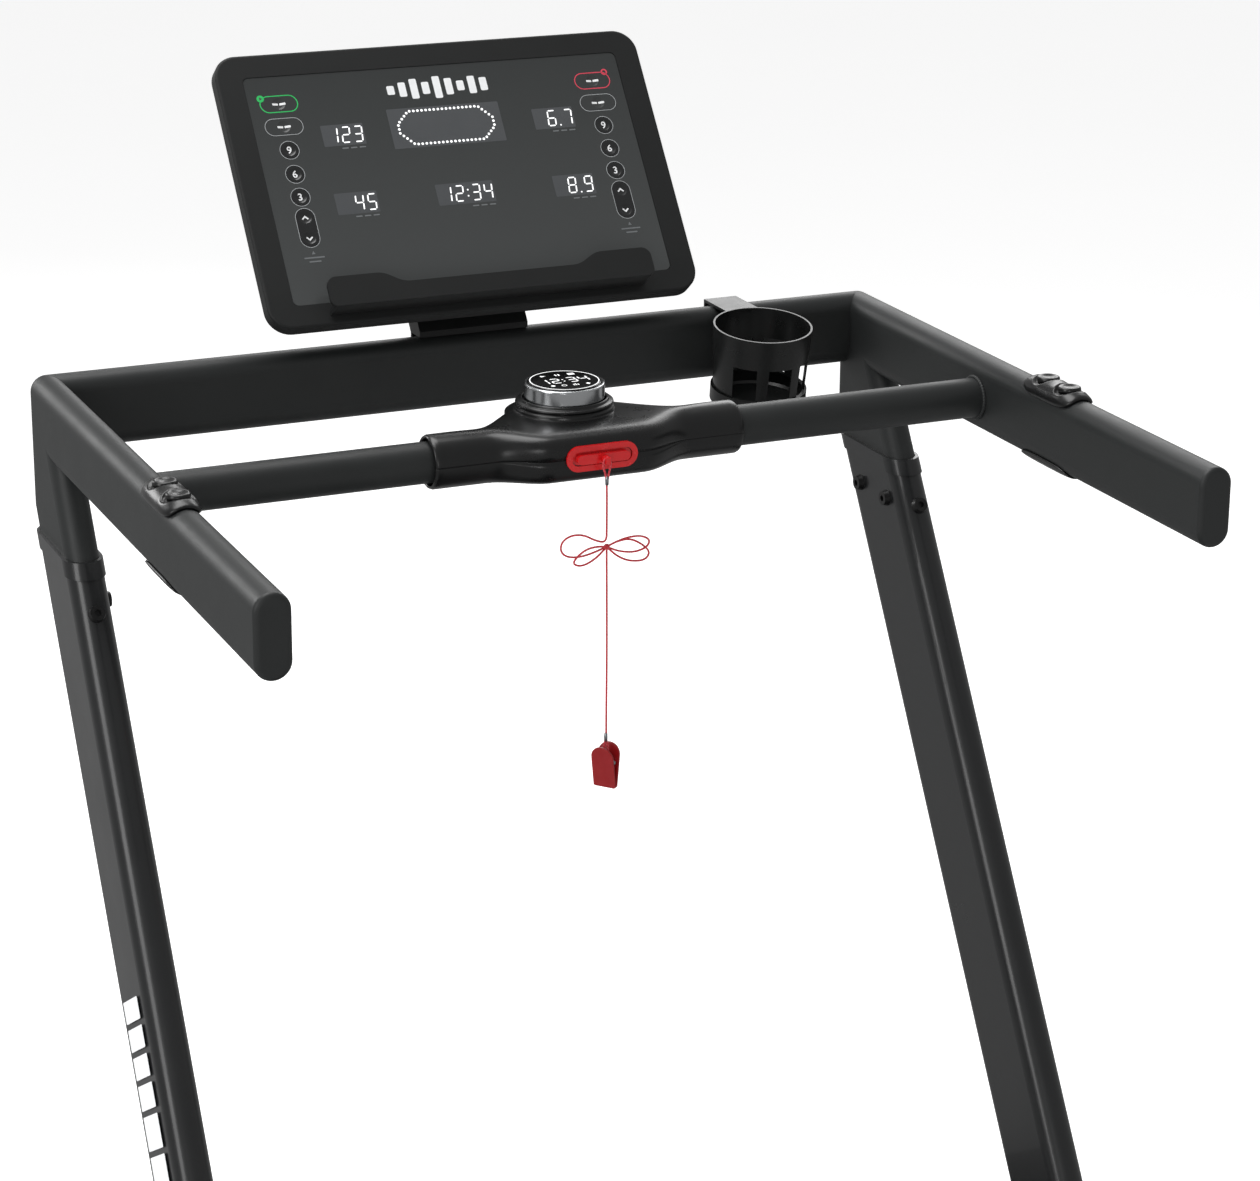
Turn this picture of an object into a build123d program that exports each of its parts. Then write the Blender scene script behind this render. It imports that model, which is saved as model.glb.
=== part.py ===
# Folding treadmill: leaning uprights with a U-shaped handrail, tilted console, speed knob,
# safety key on a cord, motor lift and a running deck that folds up.
# Millimetres. +Z up, floor at z = 0, +Y towards the console, +X to the walker's right.
import os
from math import asin, cos, pi, radians, sin, tan

from build123d import *

os.makedirs("parts", exist_ok=True)

# Driving dimensions: overall
total_length = 1680.0
handle_height = 1040.0
handle_x = 356.75
gap = 0.3
press_gap = 0.1
running_gap = 0.05

# Handrail and uprights
tube_wide = 26.5
tube_high = 61.0
tube_wall = 1.8
handle_reach = 565.5
cap_length = 7.0
lean = radians(31.15)
leg_shift = 8.5
leg_deep = 88.0
leg_overlap = 120.0
upright_wide = 29.2
upright_deep = 91.4
upright_wall = 1.2
collar_wall = 1.4
collar_top_drop = 93.0
collar_high = 12.0
crossbar_r = 16.0
crossbar_back = 233.7
crossbar_drop = 1.8
bolt_drop = 128.0
bolt_backs = (43.6, 91.5)
bolt_r = 4.0
bolt_head_r = 7.0
bolt_head_high = 4.6

# Console, measured in its own tilted plane
console_wide = 372.5
console_high = 242.0
console_corner = 20.0
console_tilt = radians(37.1)
console_setback = 46.7
console_rise = 60.4
front_shell_deep = 12.0
rear_shell_deep = 38.0
rear_shell_inset = 12.0
rear_shell_round = 8.0
shell_wall = 2.5
panel_wide = 328.0
panel_low = 19.5
panel_top = 221.0
panel_corner = 5.0
panel_thick = 1.8
panel_sink = 0.5
key_x = 138.0
pill_long = 31.0
pill_high = 14.0
round_key_r = 7.5
rocker_wide = 15.5
rocker_long = 33.5
key_flange = 1.2

# Where the console puts the rear tube so that the whole machine is centred on y = 0
console_reach = (
    -console_setback
    + (console_high - rear_shell_inset - rear_shell_round) * sin(console_tilt)
    + (rear_shell_deep - rear_shell_round) * cos(console_tilt)
    + rear_shell_round
)
rear_y = total_length / 2 - console_reach
crossbar_y = rear_y - crossbar_back
crossbar_z = handle_height - crossbar_drop

# Knob and its housing
sleeve_r = 18.6
sleeve_half = 126.0
housing_wall = 3.0
housing_top = 17.0
housing_low = 18.6
knob_back = 36.7
knob_face_z = 38.4
knob_ring_r = 31.5
knob_display_r = 28.6
key_face = 38.5
socket_wide = 58.5
socket_high = 20.0

# Safety key, cord and clip
cord_r = 0.8
cord_out = 47.0
ferrule_r = 1.4
bow_drop = 70.5
bow_wide = 78.0
bow_high = 30.0
bow_deep = 9.0
clip_top_drop = 232.0
clip_long = 35.0
clip_wide = 19.0
clip_turn = 40.0

# Cup holder
cup_x = 233.0
cup_back = 68.7
cup_rise = 29.2
cup_r = 41.4
cup_high = 69.0
cup_tilt = 7.0
cup_wall = 1.6
hook_wide = 30.0
hook_thick = 2.5
hook_drop = 22.0

# Thumb pads on the handles
pad_far = 303.0
pad_long = 72.0
pad_button_r = 9.0

# Base and lift
rail_x = 344.0
rail_wide = 40.0
rail_low = 10.0
rail_high = 70.0
rail_rear = -80.0
rail_front = 776.0
front_tube_y = 785.0
wheel_r = 27.5
wheel_y = 811.0
wheel_z = 30.5
lift_pivot = (150.0, 57.0)
fold_pivot = (705.0, 90.0)
lift_arm_x = 241.0
shaft_r = 10.0
actuator_base = (430.0, 34.0)
actuator_top = (600.0, 62.0)
actuator_x = 60.0
pin_r = 5.0

# Deck
deck_half = 316.0
deck_tail = -total_length / 2
frame_x = 288.0
frame_wide = 40.0
frame_low = 95.0
frame_top = 150.0
board_thick = 18.0
belt_half = 230.0
belt_thick = 2.0
roller_r = 22.5
rear_roller_y = -790.0
front_roller_y = 455.0
foot_y = -752.0
foot_r = 18.0
hood_rear = 432.0
motor_y = 610.0
motor_z = 160.0
motor_pulley_r = 15.0
roller_pulley_r = 30.0
pulley_x = -256.0
pulley_half = 6.0

up_leg = (0.0, sin(lean), cos(lean))
console_out = (0.0, -cos(console_tilt), sin(console_tilt))
console_base = (0.0, rear_y - console_setback, handle_height + console_rise)


def finish(piece, name):
    piece.part.label = name
    export_step(piece.part, f"parts/{name}.step")


def leg_y(height):
    """Y of the leg's and upright's common axis at a height above the floor."""
    return rear_y + leg_shift - (handle_height - height) * tan(lean)


def leg_plane(side, height):
    origin = (side * handle_x, leg_y(height), height)
    return Plane(origin=origin, x_dir=(1, 0, 0), z_dir=up_leg)


def console_plane(depth=0.0):
    return Plane(origin=console_base, x_dir=(1, 0, 0), z_dir=console_out).offset(depth)


def side_plane(y):
    """Vertical plane facing the walker, drawn in X and Z."""
    return Plane.XZ.offset(-y)


# Handrail: two handles, rear tube, crossbar and two leg stubs, all welded

def half_rail(inset, past_end):
    """Right half of the handrail tubes, every surface moved in by inset."""
    radius = tube_wide / 2 - inset
    tall = tube_high - 2 * inset
    reach = handle_reach - cap_length + past_end
    edge = leg_deep / 2 - tube_wide / 2
    far_point = leg_y(handle_height) + edge / cos(lean) - rear_y
    bend_z = handle_height - far_point / tan(lean)
    foot_z = handle_height - collar_top_drop - leg_overlap - past_end
    far_foot = leg_y(foot_z) + edge / cos(lean)
    near_foot = leg_y(foot_z) - edge / cos(lean)
    near_top = leg_y(handle_height) - edge / cos(lean)
    with BuildPart() as body:
        with BuildSketch(side_plane(rear_y)):
            with Locations((handle_x, handle_height)):
                SlotOverall(tall, 2 * radius, rotation=90)
        extrude(amount=reach)
        with BuildSketch(Plane.YZ):
            with Locations((rear_y, handle_height)):
                SlotOverall(tall, 2 * radius, rotation=90)
        extrude(amount=handle_x)
        with BuildSketch(side_plane(rear_y)):
            with Locations((handle_x, handle_height)):
                SlotOverall(tall, 2 * radius, rotation=90)
            with Locations((handle_x - radius / 2, handle_height)):
                Rectangle(radius, tall, mode=Mode.SUBTRACT)
        revolve(axis=Axis((handle_x, rear_y, 0), (0, 0, 1)), revolution_arc=90)
        with BuildSketch(Plane.YZ.offset(handle_x)):
            with BuildLine():
                Polyline(
                    (rear_y, handle_height),
                    (rear_y, bend_z),
                    (far_foot, foot_z),
                    (near_foot, foot_z),
                    (near_top, handle_height),
                    close=True,
                )
            make_face()
        extrude(amount=radius, both=True)
        for low, high in (
            ((rear_y, bend_z), (rear_y, handle_height)),
            ((far_foot, foot_z), (rear_y, bend_z)),
            ((near_foot, foot_z), (near_top, handle_height)),
        ):
            run = (0, high[0] - low[0], high[1] - low[1])
            start = Plane(origin=(handle_x, low[0], low[1]), x_dir=(1, 0, 0), z_dir=run)
            with BuildSketch(start):
                Circle(radius)
            extrude(amount=Vector(*run).length)
        with Locations((handle_x, rear_y, bend_z)):
            Sphere(radius)
        split(bisect_by=Plane.XY.offset(foot_z + 8), keep=Keep.TOP)
    return body.part


def bolt_spots():
    """Planes of the frame bolts, z outwards: at the collars, then at the feet."""
    spots = []
    for side in (-1, 1):
        bolt_z = handle_height - bolt_drop
        for back in bolt_backs:
            face_x = side * (handle_x - upright_wide / 2)
            spots.append(Plane(origin=(face_x, rear_y - back, bolt_z), z_dir=(-side, 0, 0)))
        near = leg_plane(side, bolt_z - upright_deep / 2 * sin(lean))
        spots.append(Plane(origin=(near * Pos(0, -upright_deep / 2, 0)).position,
                           z_dir=(0, -cos(lean), sin(lean))))
        for height in (98.0, 122.0):
            face_x = side * (handle_x + upright_wide / 2 + press_gap + 3.0)
            spots.append(Plane(origin=(face_x, leg_y(height), height), z_dir=(side, 0, 0)))
    return spots


outer_half = half_rail(0, 0)
inner_half = half_rail(tube_wall, 20)
with BuildPart() as handrail_frame:
    add(outer_half)
    add(mirror(outer_half, about=Plane.YZ))
    with Locations((0, crossbar_y, crossbar_z)):
        Cylinder(crossbar_r, 2 * handle_x - 6, rotation=(0, 90, 0))
    add(inner_half, mode=Mode.SUBTRACT)
    add(mirror(inner_half, about=Plane.YZ), mode=Mode.SUBTRACT)
    with Locations((0, crossbar_y, crossbar_z)):
        Cylinder(crossbar_r - 2, 2 * handle_x - tube_wide, rotation=(0, 90, 0), mode=Mode.SUBTRACT)
    for spot in bolt_spots():
        with BuildSketch(spot):
            Circle(bolt_r + gap)
        extrude(amount=-18, mode=Mode.SUBTRACT)
finish(handrail_frame, "handrail_frame")

with BuildPart() as handrail_end_caps:
    for side in (-1, 1):
        with BuildSketch(side_plane(rear_y - handle_reach + cap_length)):
            with Locations((side * handle_x, handle_height)):
                SlotOverall(tube_high, tube_wide, rotation=90)
        extrude(amount=cap_length)
    fillet(handrail_end_caps.faces().sort_by(Axis.Y)[0:2].edges(), radius=4)
    for side in (-1, 1):
        with BuildSketch(side_plane(rear_y - handle_reach + cap_length)):
            with Locations((side * handle_x, handle_height)):
                slot_tall = tube_high - 2 * (tube_wall + press_gap)
                SlotOverall(slot_tall, tube_wide - 2 * (tube_wall + press_gap), rotation=90)
        extrude(amount=-18)
finish(handrail_end_caps, "handrail_end_caps")


def upright_tube(side, inset, low, high):
    """Leaning slot-shaped bar between two horizontal cuts."""
    with BuildPart() as body:
        with BuildSketch(leg_plane(side, low - 60)):
            SlotOverall(upright_deep - 2 * inset, upright_wide - 2 * inset, rotation=90)
        extrude(amount=(high - low + 120) / cos(lean))
        split(bisect_by=Plane.XY.offset(low), keep=Keep.TOP)
        split(bisect_by=Plane.XY.offset(high), keep=Keep.BOTTOM)
    return body.part


collar_top = handle_height - collar_top_drop
for side, upright_name in ((-1, "upright_left"), (1, "upright_right")):
    with BuildPart() as upright:
        add(upright_tube(side, 0, rail_high, collar_top))
        add(upright_tube(side, -collar_wall, collar_top - collar_high, collar_top))
        add(upright_tube(side, upright_wall, rail_high - 5, collar_top + 5), mode=Mode.SUBTRACT)
        for spot in bolt_spots():
            with BuildSketch(spot):
                Circle(bolt_r + gap)
            extrude(amount=-18, mode=Mode.SUBTRACT)
    finish(upright, upright_name)

with BuildPart() as frame_bolts:
    for spot in bolt_spots():
        with BuildSketch(spot):
            Circle(bolt_head_r)
        extrude(amount=bolt_head_high, taper=14)
        with BuildSketch(spot):
            Circle(bolt_r)
        extrude(amount=-14)
        with BuildSketch(spot.offset(bolt_head_high - 2.6)):
            RegularPolygon(radius=2.9, side_count=6)
        extrude(amount=5, mode=Mode.SUBTRACT)
finish(frame_bolts, "frame_bolts")


# Console: everything is drawn in the tilted plane, local z out of the face

def console_bar(width, length, corner, low, depth_from, depth_to):
    """Rounded plate in the console plane, low edge at local y = low."""
    with BuildPart() as body:
        with BuildSketch(console_plane(depth_from)):
            with Locations((0, low + length / 2)):
                RectangleRounded(width, length, corner)
        extrude(amount=depth_to - depth_from)
    return body.part


panel_high = panel_top - panel_low
with BuildPart() as console_front_shell:
    add(console_bar(console_wide, console_high, console_corner, 0, -front_shell_deep, 0))
    front_rim = console_front_shell.faces().sort_by(Axis(console_base, console_out))[-1]
    fillet(front_rim.edges(), radius=2.5)
    add(
        console_bar(
            panel_wide + 2 * gap,
            panel_high + 2 * gap,
            panel_corner,
            panel_low - gap,
            -panel_sink - panel_thick - gap,
            1,
        ),
        mode=Mode.SUBTRACT,
    )
    add(console_bar(panel_wide - 12, panel_high - 12, 3, panel_low + 6, -20, 0), mode=Mode.SUBTRACT)
finish(console_front_shell, "console_front_shell")

with BuildPart() as console_rear_shell:
    inset = rear_shell_inset
    add(
        console_bar(
            console_wide - 2 * inset,
            console_high - 2 * inset,
            console_corner - 6,
            inset,
            -rear_shell_deep,
            -front_shell_deep,
        )
    )
    back_rim = console_rear_shell.faces().sort_by(Axis(console_base, console_out))[0]
    fillet(back_rim.edges(), radius=rear_shell_round)
    wall = inset + shell_wall
    add(
        console_bar(
            console_wide - 2 * wall,
            console_high - 2 * wall,
            console_corner - 9,
            wall,
            -rear_shell_deep + shell_wall,
            -front_shell_deep + 1,
        ),
        mode=Mode.SUBTRACT,
    )
finish(console_rear_shell, "console_rear_shell")

pill_keys = (
    ("key_start", -key_x, 196.5),
    ("key_program", -key_x, 176.0),
    ("key_stop", key_x, 196.5),
    ("key_mode", key_x, 176.0),
)
round_keys = tuple(
    (f"key_{side_name}_{number}", side * key_x, height)
    for side_name, side in (("incline", -1), ("speed", 1))
    for number, height in ((9, 154.9), (6, 133.4), (3, 113.0))
)
rocker_keys = (("key_incline_rocker", -key_x, 85.8), ("key_speed_rocker", key_x, 85.8))


def key_outline(name, x, y, grow):
    """Sketch of one key, grown all round."""
    with Locations((x, y)):
        if name in dict((key[0], key) for key in pill_keys):
            SlotOverall(pill_long + 2 * grow, pill_high + 2 * grow)
        elif name in dict((key[0], key) for key in rocker_keys):
            SlotOverall(rocker_long + 2 * grow, rocker_wide + 2 * grow, rotation=90)
        else:
            Circle(round_key_r + grow)


all_keys = pill_keys + round_keys + rocker_keys
panel_back = -panel_sink - panel_thick
with BuildPart() as console_panel:
    add(console_bar(panel_wide, panel_high, panel_corner, panel_low, panel_back, -panel_sink))
    with BuildSketch(console_plane(panel_back - 1)):
        for key_name, x, y in all_keys:
            key_outline(key_name, x, y, gap)
    extrude(amount=5, mode=Mode.SUBTRACT)
finish(console_panel, "console_panel")

for key_name, x, y in all_keys:
    with BuildPart() as key:
        with BuildSketch(console_plane(panel_back - 3.2)):
            key_outline(key_name, x, y, 0)
        extrude(amount=3.2 + panel_thick)
        with BuildSketch(console_plane(panel_back - 3.2)):
            key_outline(key_name, x, y, key_flange)
        extrude(amount=3.0)
        dish_r = 14.0
        dish_deep = 1.0
        dish_spots = ((x, y + 9), (x, y - 9)) if "rocker" in key_name else ((x, y),)
        for spot in dish_spots:
            centre = console_plane(-panel_sink + dish_r - dish_deep) * Pos(*spot, 0)
            with Locations(centre):
                Sphere(dish_r, mode=Mode.SUBTRACT)
    finish(key, key_name)

shelf_half = 140.0
shelf_low = 8.0
shelf_proud = 20.0
lip_thick = 3.0
lip_end = 33.0
lip_middle = 23.5
step_out = 98.0
step_in = 70.0
with BuildPart() as tablet_shelf:
    with BuildSketch(console_plane(0)):
        with Locations((0, shelf_low + 2)):
            Rectangle(2 * shelf_half - 8, 4)
    extrude(amount=shelf_proud)
    with BuildSketch(console_plane(shelf_proud - lip_thick)):
        with BuildLine():
            Polyline(
                (-step_out, lip_end),
                (-shelf_half + 8, lip_end),
            )
            ThreePointArc(
                (-shelf_half + 8, lip_end),
                (-shelf_half + 8 - 8 * sin(pi / 4), lip_end - 8 + 8 * sin(pi / 4)),
                (-shelf_half, lip_end - 8),
            )
            Line((-shelf_half, lip_end - 8), (-shelf_half, shelf_low + 6))
            ThreePointArc(
                (-shelf_half, shelf_low + 6),
                (-shelf_half + 6 - 6 * sin(pi / 4), shelf_low + 6 - 6 * sin(pi / 4)),
                (-shelf_half + 6, shelf_low),
            )
            Line((-shelf_half + 6, shelf_low), (0, shelf_low))
            Line((0, shelf_low), (0, lip_middle))
            Line((0, lip_middle), (-step_in, lip_middle))
            Spline(
                (-step_in, lip_middle),
                (-step_out, lip_end),
                tangents=((-1, 0), (-1, 0)),
            )
        make_face()
        mirror(about=Plane.YZ)
    extrude(amount=lip_thick)
finish(tablet_shelf, "tablet_shelf")

bracket_half = 47.5
bracket_thick = 3.0
web_back = 7.0
web_bend = 5.0
tube_top = handle_height + tube_high / 2
foot_z = tube_top + press_gap
plate_back = rear_y + tube_wide / 2 + bracket_thick
web_plane = console_plane(-rear_shell_deep - bracket_thick - web_back)
bend_height = (foot_z + web_bend - web_plane.origin.Z) / cos(console_tilt)
bend = (web_plane * Pos(0, bend_height, 0)).position
web_top = (web_plane * Pos(0, 40, 0)).position
with BuildPart() as console_bracket:
    with BuildSketch(Plane.XY.offset(foot_z)):
        with Locations((0, (bend.Y + plate_back) / 2)):
            Rectangle(2 * bracket_half, plate_back - bend.Y)
    extrude(amount=bracket_thick)
    with BuildSketch(Plane.XY.offset(tube_top - 16)):
        with Locations((0, plate_back - bracket_thick / 2)):
            Rectangle(2 * bracket_half, bracket_thick - 2 * press_gap)
    extrude(amount=16 + bracket_thick)
    # Web across the front, parallel to the console's back, its lowest part bent upright
    with BuildSketch(Plane.YZ.offset(-bracket_half)):
        with BuildLine():
            Polyline(
                (bend.Y, foot_z),
                (bend.Y, bend.Z),
                (web_top.Y, web_top.Z),
                (
                    web_top.Y + bracket_thick * cos(console_tilt),
                    web_top.Z - bracket_thick * sin(console_tilt),
                ),
                (bend.Y + bracket_thick, bend.Z - 1),
                (bend.Y + bracket_thick, foot_z),
                close=True,
            )
        make_face()
    extrude(amount=2 * bracket_half)
    for x in (-bracket_half, bracket_half - bracket_thick):
        with BuildSketch(Plane.YZ.offset(x)):
            with BuildLine():
                back_high = console_plane(-rear_shell_deep - bracket_thick) * Pos(0, 150, 0)
                back_low = console_plane(-rear_shell_deep - bracket_thick) * Pos(0, 26, 0)
                step = web_plane * Pos(0, 26, 0)
                Polyline(
                    (bend.Y, foot_z),
                    (bend.Y, bend.Z),
                    (step.position.Y, step.position.Z),
                    (back_low.position.Y, back_low.position.Z),
                    (back_high.position.Y, back_high.position.Z),
                    (back_high.position.Y + 18, back_high.position.Z - 18),
                    (plate_back, foot_z),
                    close=True,
                )
            make_face()
        extrude(amount=bracket_thick)
    with BuildSketch(console_plane(-rear_shell_deep - bracket_thick)):
        with Locations((0, 88)):
            Rectangle(2 * bracket_half + 24, 124)
    extrude(amount=bracket_thick - press_gap)
finish(console_bracket, "console_bracket")

# Knob housing: a smooth body clamped round the crossbar, split at the crossbar's middle


housing_layers = ((0.0, 7.0), (2.0, 3.5), (5.0, 1.0), (8.0, 0.0))


def housing_blank(grow):
    """Housing solid about the crossbar's axis, its rim stepped in towards top and bottom."""
    with BuildPart() as body:
        for step_in, cut in housing_layers if grow == 0 else ((0.0, 0.0),):
            side = grow - step_in
            far = knob_back + 42 + side
            near = -key_face + 4 - side
            sleeve = sleeve_r - 1 + side
            with BuildSketch(Plane((0, crossbar_y, crossbar_z - housing_low - grow + cut))):
                with BuildLine():
                    Line((0, near), (38, near))
                    Spline((38, near), (78, -sleeve), tangents=((1, 0), (1, 0)))
                    Line((78, -sleeve), (92, -sleeve))
                    Line((92, -sleeve), (92, sleeve))
                    Spline((92, sleeve), (44, far - 22), (14, far), tangents=((-1, 0), (-1, 0)))
                    Line((14, far), (0, far))
                    mirror(about=Plane.YZ)
                make_face()
            extrude(amount=housing_low + housing_top + 2 * grow - 2 * cut)
        with Locations((0, crossbar_y, crossbar_z)):
            Cylinder(sleeve_r + grow, 2 * (sleeve_half + grow), rotation=(0, 90, 0))
    return body.part


knob_y = crossbar_y + knob_back
flange_r = 38.5
flange_top = crossbar_z + housing_top + 11.6
housing = housing_blank(0)
cavity = housing_blank(-housing_wall)
for half_name, keep in (("knob_housing_upper", Keep.TOP), ("knob_housing_lower", Keep.BOTTOM)):
    with BuildPart() as half:
        add(housing)
        if keep == Keep.TOP:
            with Locations((0, knob_y, flange_top - 8)):
                Cylinder(flange_r, 16)
        add(cavity, mode=Mode.SUBTRACT)
        with Locations((0, crossbar_y, crossbar_z)):
            Cylinder(crossbar_r + press_gap, 400, rotation=(0, 90, 0), mode=Mode.SUBTRACT)
        with Locations((0, knob_y, flange_top)):
            Cylinder(knob_ring_r + 1, 40, mode=Mode.SUBTRACT)
        with BuildSketch(side_plane(crossbar_y)):
            with Locations((0, crossbar_z + 0.3)):
                SlotOverall(socket_wide - 6 + 2 * press_gap, socket_high - 6 + 2 * press_gap)
        extrude(amount=80, mode=Mode.SUBTRACT)
        split_gap = press_gap / 2 if keep == Keep.TOP else -press_gap / 2
        split(bisect_by=Plane.XY.offset(crossbar_z + split_gap), keep=keep)
    finish(half, half_name)

with BuildPart() as knob_ring:
    ring_low = flange_top - 3.5
    ring_high = handle_height + knob_face_z
    with Locations((0, knob_y, (ring_low + ring_high) / 2)):
        Cylinder(knob_ring_r, ring_high - ring_low)
    fillet(knob_ring.faces().sort_by(Axis.Z)[-1].edges(), radius=1.5)
    with Locations((0, knob_y, (ring_low + ring_high) / 2)):
        Cylinder(knob_display_r + gap, ring_high - ring_low, mode=Mode.SUBTRACT)
finish(knob_ring, "knob_ring")

with BuildPart() as knob_display:
    with Locations((0, knob_y, ring_high - 6)):
        Cylinder(knob_display_r, 14)
    fillet(knob_display.faces().sort_by(Axis.Z)[-1].edges(), radius=0.8)
    with Locations((0, knob_y, ring_high - 20)):
        Cylinder(9, 16)
finish(knob_display, "knob_display")

socket_front = crossbar_y - key_face
with BuildPart() as key_socket:
    with BuildSketch(side_plane(socket_front)):
        with Locations((0, crossbar_z + 0.3)):
            SlotOverall(socket_wide, socket_high)
            SlotOverall(socket_wide - 9, socket_high - 9, mode=Mode.SUBTRACT)
    extrude(amount=-3.9)
    with BuildSketch(side_plane(socket_front + 3.9)):
        with Locations((0, crossbar_z + 0.3)):
            SlotOverall(socket_wide - 6, socket_high - 6)
            SlotOverall(socket_wide - 9, socket_high - 9, mode=Mode.SUBTRACT)
    extrude(amount=-11)
    with BuildSketch(side_plane(socket_front + 14.9)):
        with Locations((0, crossbar_z + 0.3)):
            SlotOverall(socket_wide - 6, socket_high - 6)
    extrude(amount=-2)
finish(key_socket, "key_socket")

cord_y = crossbar_y - cord_out
with BuildPart() as safety_key:
    with BuildSketch(side_plane(socket_front + 1.5)):
        with Locations((0, crossbar_z + 0.3)):
            SlotOverall(socket_wide - 10, socket_high - 10)
    extrude(amount=-12)
    with BuildSketch(side_plane(socket_front + 1.5)):
        with Locations((0, crossbar_z + 0.3)):
            SlotOverall(socket_wide - 15, 7.5)
    extrude(amount=5)
    with BuildSketch(side_plane(socket_front - 3.5)):
        with Locations((0, crossbar_z)):
            Rectangle(4, 5)
    extrude(amount=cord_out - key_face - 3.5 + 3)
    with BuildSketch(Plane.YZ.offset(-5)):
        with Locations((cord_y, crossbar_z + 0.6)):
            Circle(1.4)
    extrude(amount=10, mode=Mode.SUBTRACT)
finish(safety_key, "safety_key")

# Cord: hangs straight, so its runs are straight between the key, the bow and the clip

cord_top = crossbar_z - 4.6
bow_z = handle_height - bow_drop
clip_top = handle_height - clip_top_drop
cord_runs = (
    (cord_top, bow_z + bow_high / 2),
    (bow_z - bow_high / 2, clip_top),
)
with BuildPart() as key_cord:
    for high, low in cord_runs:
        with BuildSketch(Plane((0, cord_y, low))):
            Circle(cord_r)
        extrude(amount=high - low)
    for ferrule_z in (handle_height - 18.0, handle_height - 226.0):
        with Locations((0, cord_y, ferrule_z)):
            Cylinder(ferrule_r, 7)
finish(key_cord, "key_cord")
cord_length = sum(high - low for high, low in cord_runs)
ferrule_extra = 2 * 7 * pi * (ferrule_r**2 - cord_r**2)
print("cord runs", [round(high - low, 1) for high, low in cord_runs], "no bends")
print("cord volume", round(key_cord.part.volume - ferrule_extra, 2), "section x length",
      round(pi * cord_r**2 * cord_length, 2))

with BuildPart() as cord_bow:
    with BuildSketch(side_plane(cord_y + bow_deep / 2)):
        with Locations((0, bow_z)):
            SlotOverall(bow_wide, bow_high)
    extrude(amount=bow_deep)
finish(cord_bow, "cord_bow")

clip_pin_drop = 14.0
clip_open = 5.0
clip_frame = Plane(origin=(0, cord_y, clip_top)).rotated((0, 0, clip_turn))
for jaw_name, side in (("clip_front", -1), ("clip_back", 1)):
    with BuildPart() as jaw:
        with BuildSketch(clip_frame * Plane.XZ):
            with BuildLine():
                Polyline(
                    (side * 0.3, -clip_long),
                    (side * 2.6, -clip_long),
                    (side * (clip_open + 2.0), 0),
                    (side * clip_open, 0),
                    (side * 0.3, -clip_long + 4),
                    close=True,
                )
            make_face()
        extrude(amount=clip_wide / 2, both=True)
        ears = 5.5 if side < 0 else 3.0
        for offset in (-ears, ears):
            with BuildSketch(clip_frame * Plane.XZ.offset(offset - 1)):
                with Locations((0, -clip_pin_drop)):
                    Circle(2.4)
                    with Locations((side * 2.4, 0)):
                        Rectangle(3.2, 4.8)
            extrude(amount=2)
        pin_hole = 1.0 if side < 0 else 1.0 + running_gap
        with BuildSketch(clip_frame * Plane.XZ.offset(-8)):
            with Locations((0, -clip_pin_drop)):
                Circle(pin_hole)
        extrude(amount=16, mode=Mode.ADD if side < 0 else Mode.SUBTRACT)
    finish(jaw, jaw_name)

# Cup holder: thin cup with windows, hooked over the rear tube

cup_centre = (cup_x, rear_y - cup_back, handle_height + cup_rise)
cup_frame = Plane(origin=cup_centre).rotated((cup_tilt, 0, 0))
with BuildPart() as cup_holder:
    with BuildSketch(cup_frame * Plane.XZ):
        with BuildLine():
            Polyline(
                (0, -cup_high),
                (cup_r - 4, -cup_high),
                (cup_r - 1, -cup_high + 3),
                (cup_r - 1, -cup_high + 15),
                (cup_r - 3, -cup_high + 15),
                (cup_r, 0),
                (cup_r - cup_wall, 0),
                (cup_r - 4.6, -cup_high + 13.4),
                (cup_r - 2.6, -cup_high + 13.4),
                (cup_r - 2.6, -cup_high + 3.6),
                (cup_r - 4.6, -cup_high + cup_wall),
                (0, -cup_high + cup_wall),
                close=True,
            )
        make_face()
    revolve(axis=Axis(cup_centre, (0, -sin(radians(cup_tilt)), cos(radians(cup_tilt)))))
    for turn in (0, 45, 90, 135, 180, 225, 315):
        window = cup_frame.rotated((0, 0, 0)) * Rot(0, 0, turn - 90) * Pos(cup_r, 0, -40)
        with Locations(window):
            Box(16, 21, 28, mode=Mode.SUBTRACT)
    hook_top = handle_height + tube_high / 2 + press_gap
    hook_start = rear_y - cup_back + cup_r - 2.5
    hook_end = rear_y + tube_wide / 2 + press_gap + hook_thick
    with Locations((cup_x, (hook_start + hook_end) / 2, hook_top + hook_thick / 2)):
        Box(hook_wide, hook_end - hook_start, hook_thick)
    with Locations((cup_x, hook_end - hook_thick / 2, hook_top - hook_drop / 2 + hook_thick)):
        Box(hook_wide, hook_thick, hook_drop)
finish(cup_holder, "cup_holder")


# Thumb pads: saddles over the handles with two round buttons each, clamped from below

pad_y = rear_y - pad_far - pad_long / 2
pad_top = handle_height + tube_high / 2 + 6.5
with BuildPart() as control_pads:
    for side in (-1, 1):
        with BuildSketch(side_plane(rear_y - pad_far)):
            with Locations((side * handle_x, handle_height)):
                SlotOverall(tube_high + 5, tube_wide + 5, rotation=90)
            with Locations((side * handle_x, pad_top - 4.5)):
                RectangleRounded(30, 8, 2.5)
            with Locations((side * handle_x, handle_height)):
                Rectangle(60, 46, mode=Mode.SUBTRACT)
                SlotOverall(
                    tube_high + 2 * press_gap, tube_wide + 2 * press_gap, rotation=90, mode=Mode.SUBTRACT
                )
        extrude(amount=pad_long)
        for shift in (-17, 15):
            with Locations((side * handle_x, pad_y + shift, pad_top - 0.5)):
                Cylinder(pad_button_r + 2.5, 3.5)
                Cylinder(pad_button_r + gap, 20, mode=Mode.SUBTRACT)
finish(control_pads, "control_pads")

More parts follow.
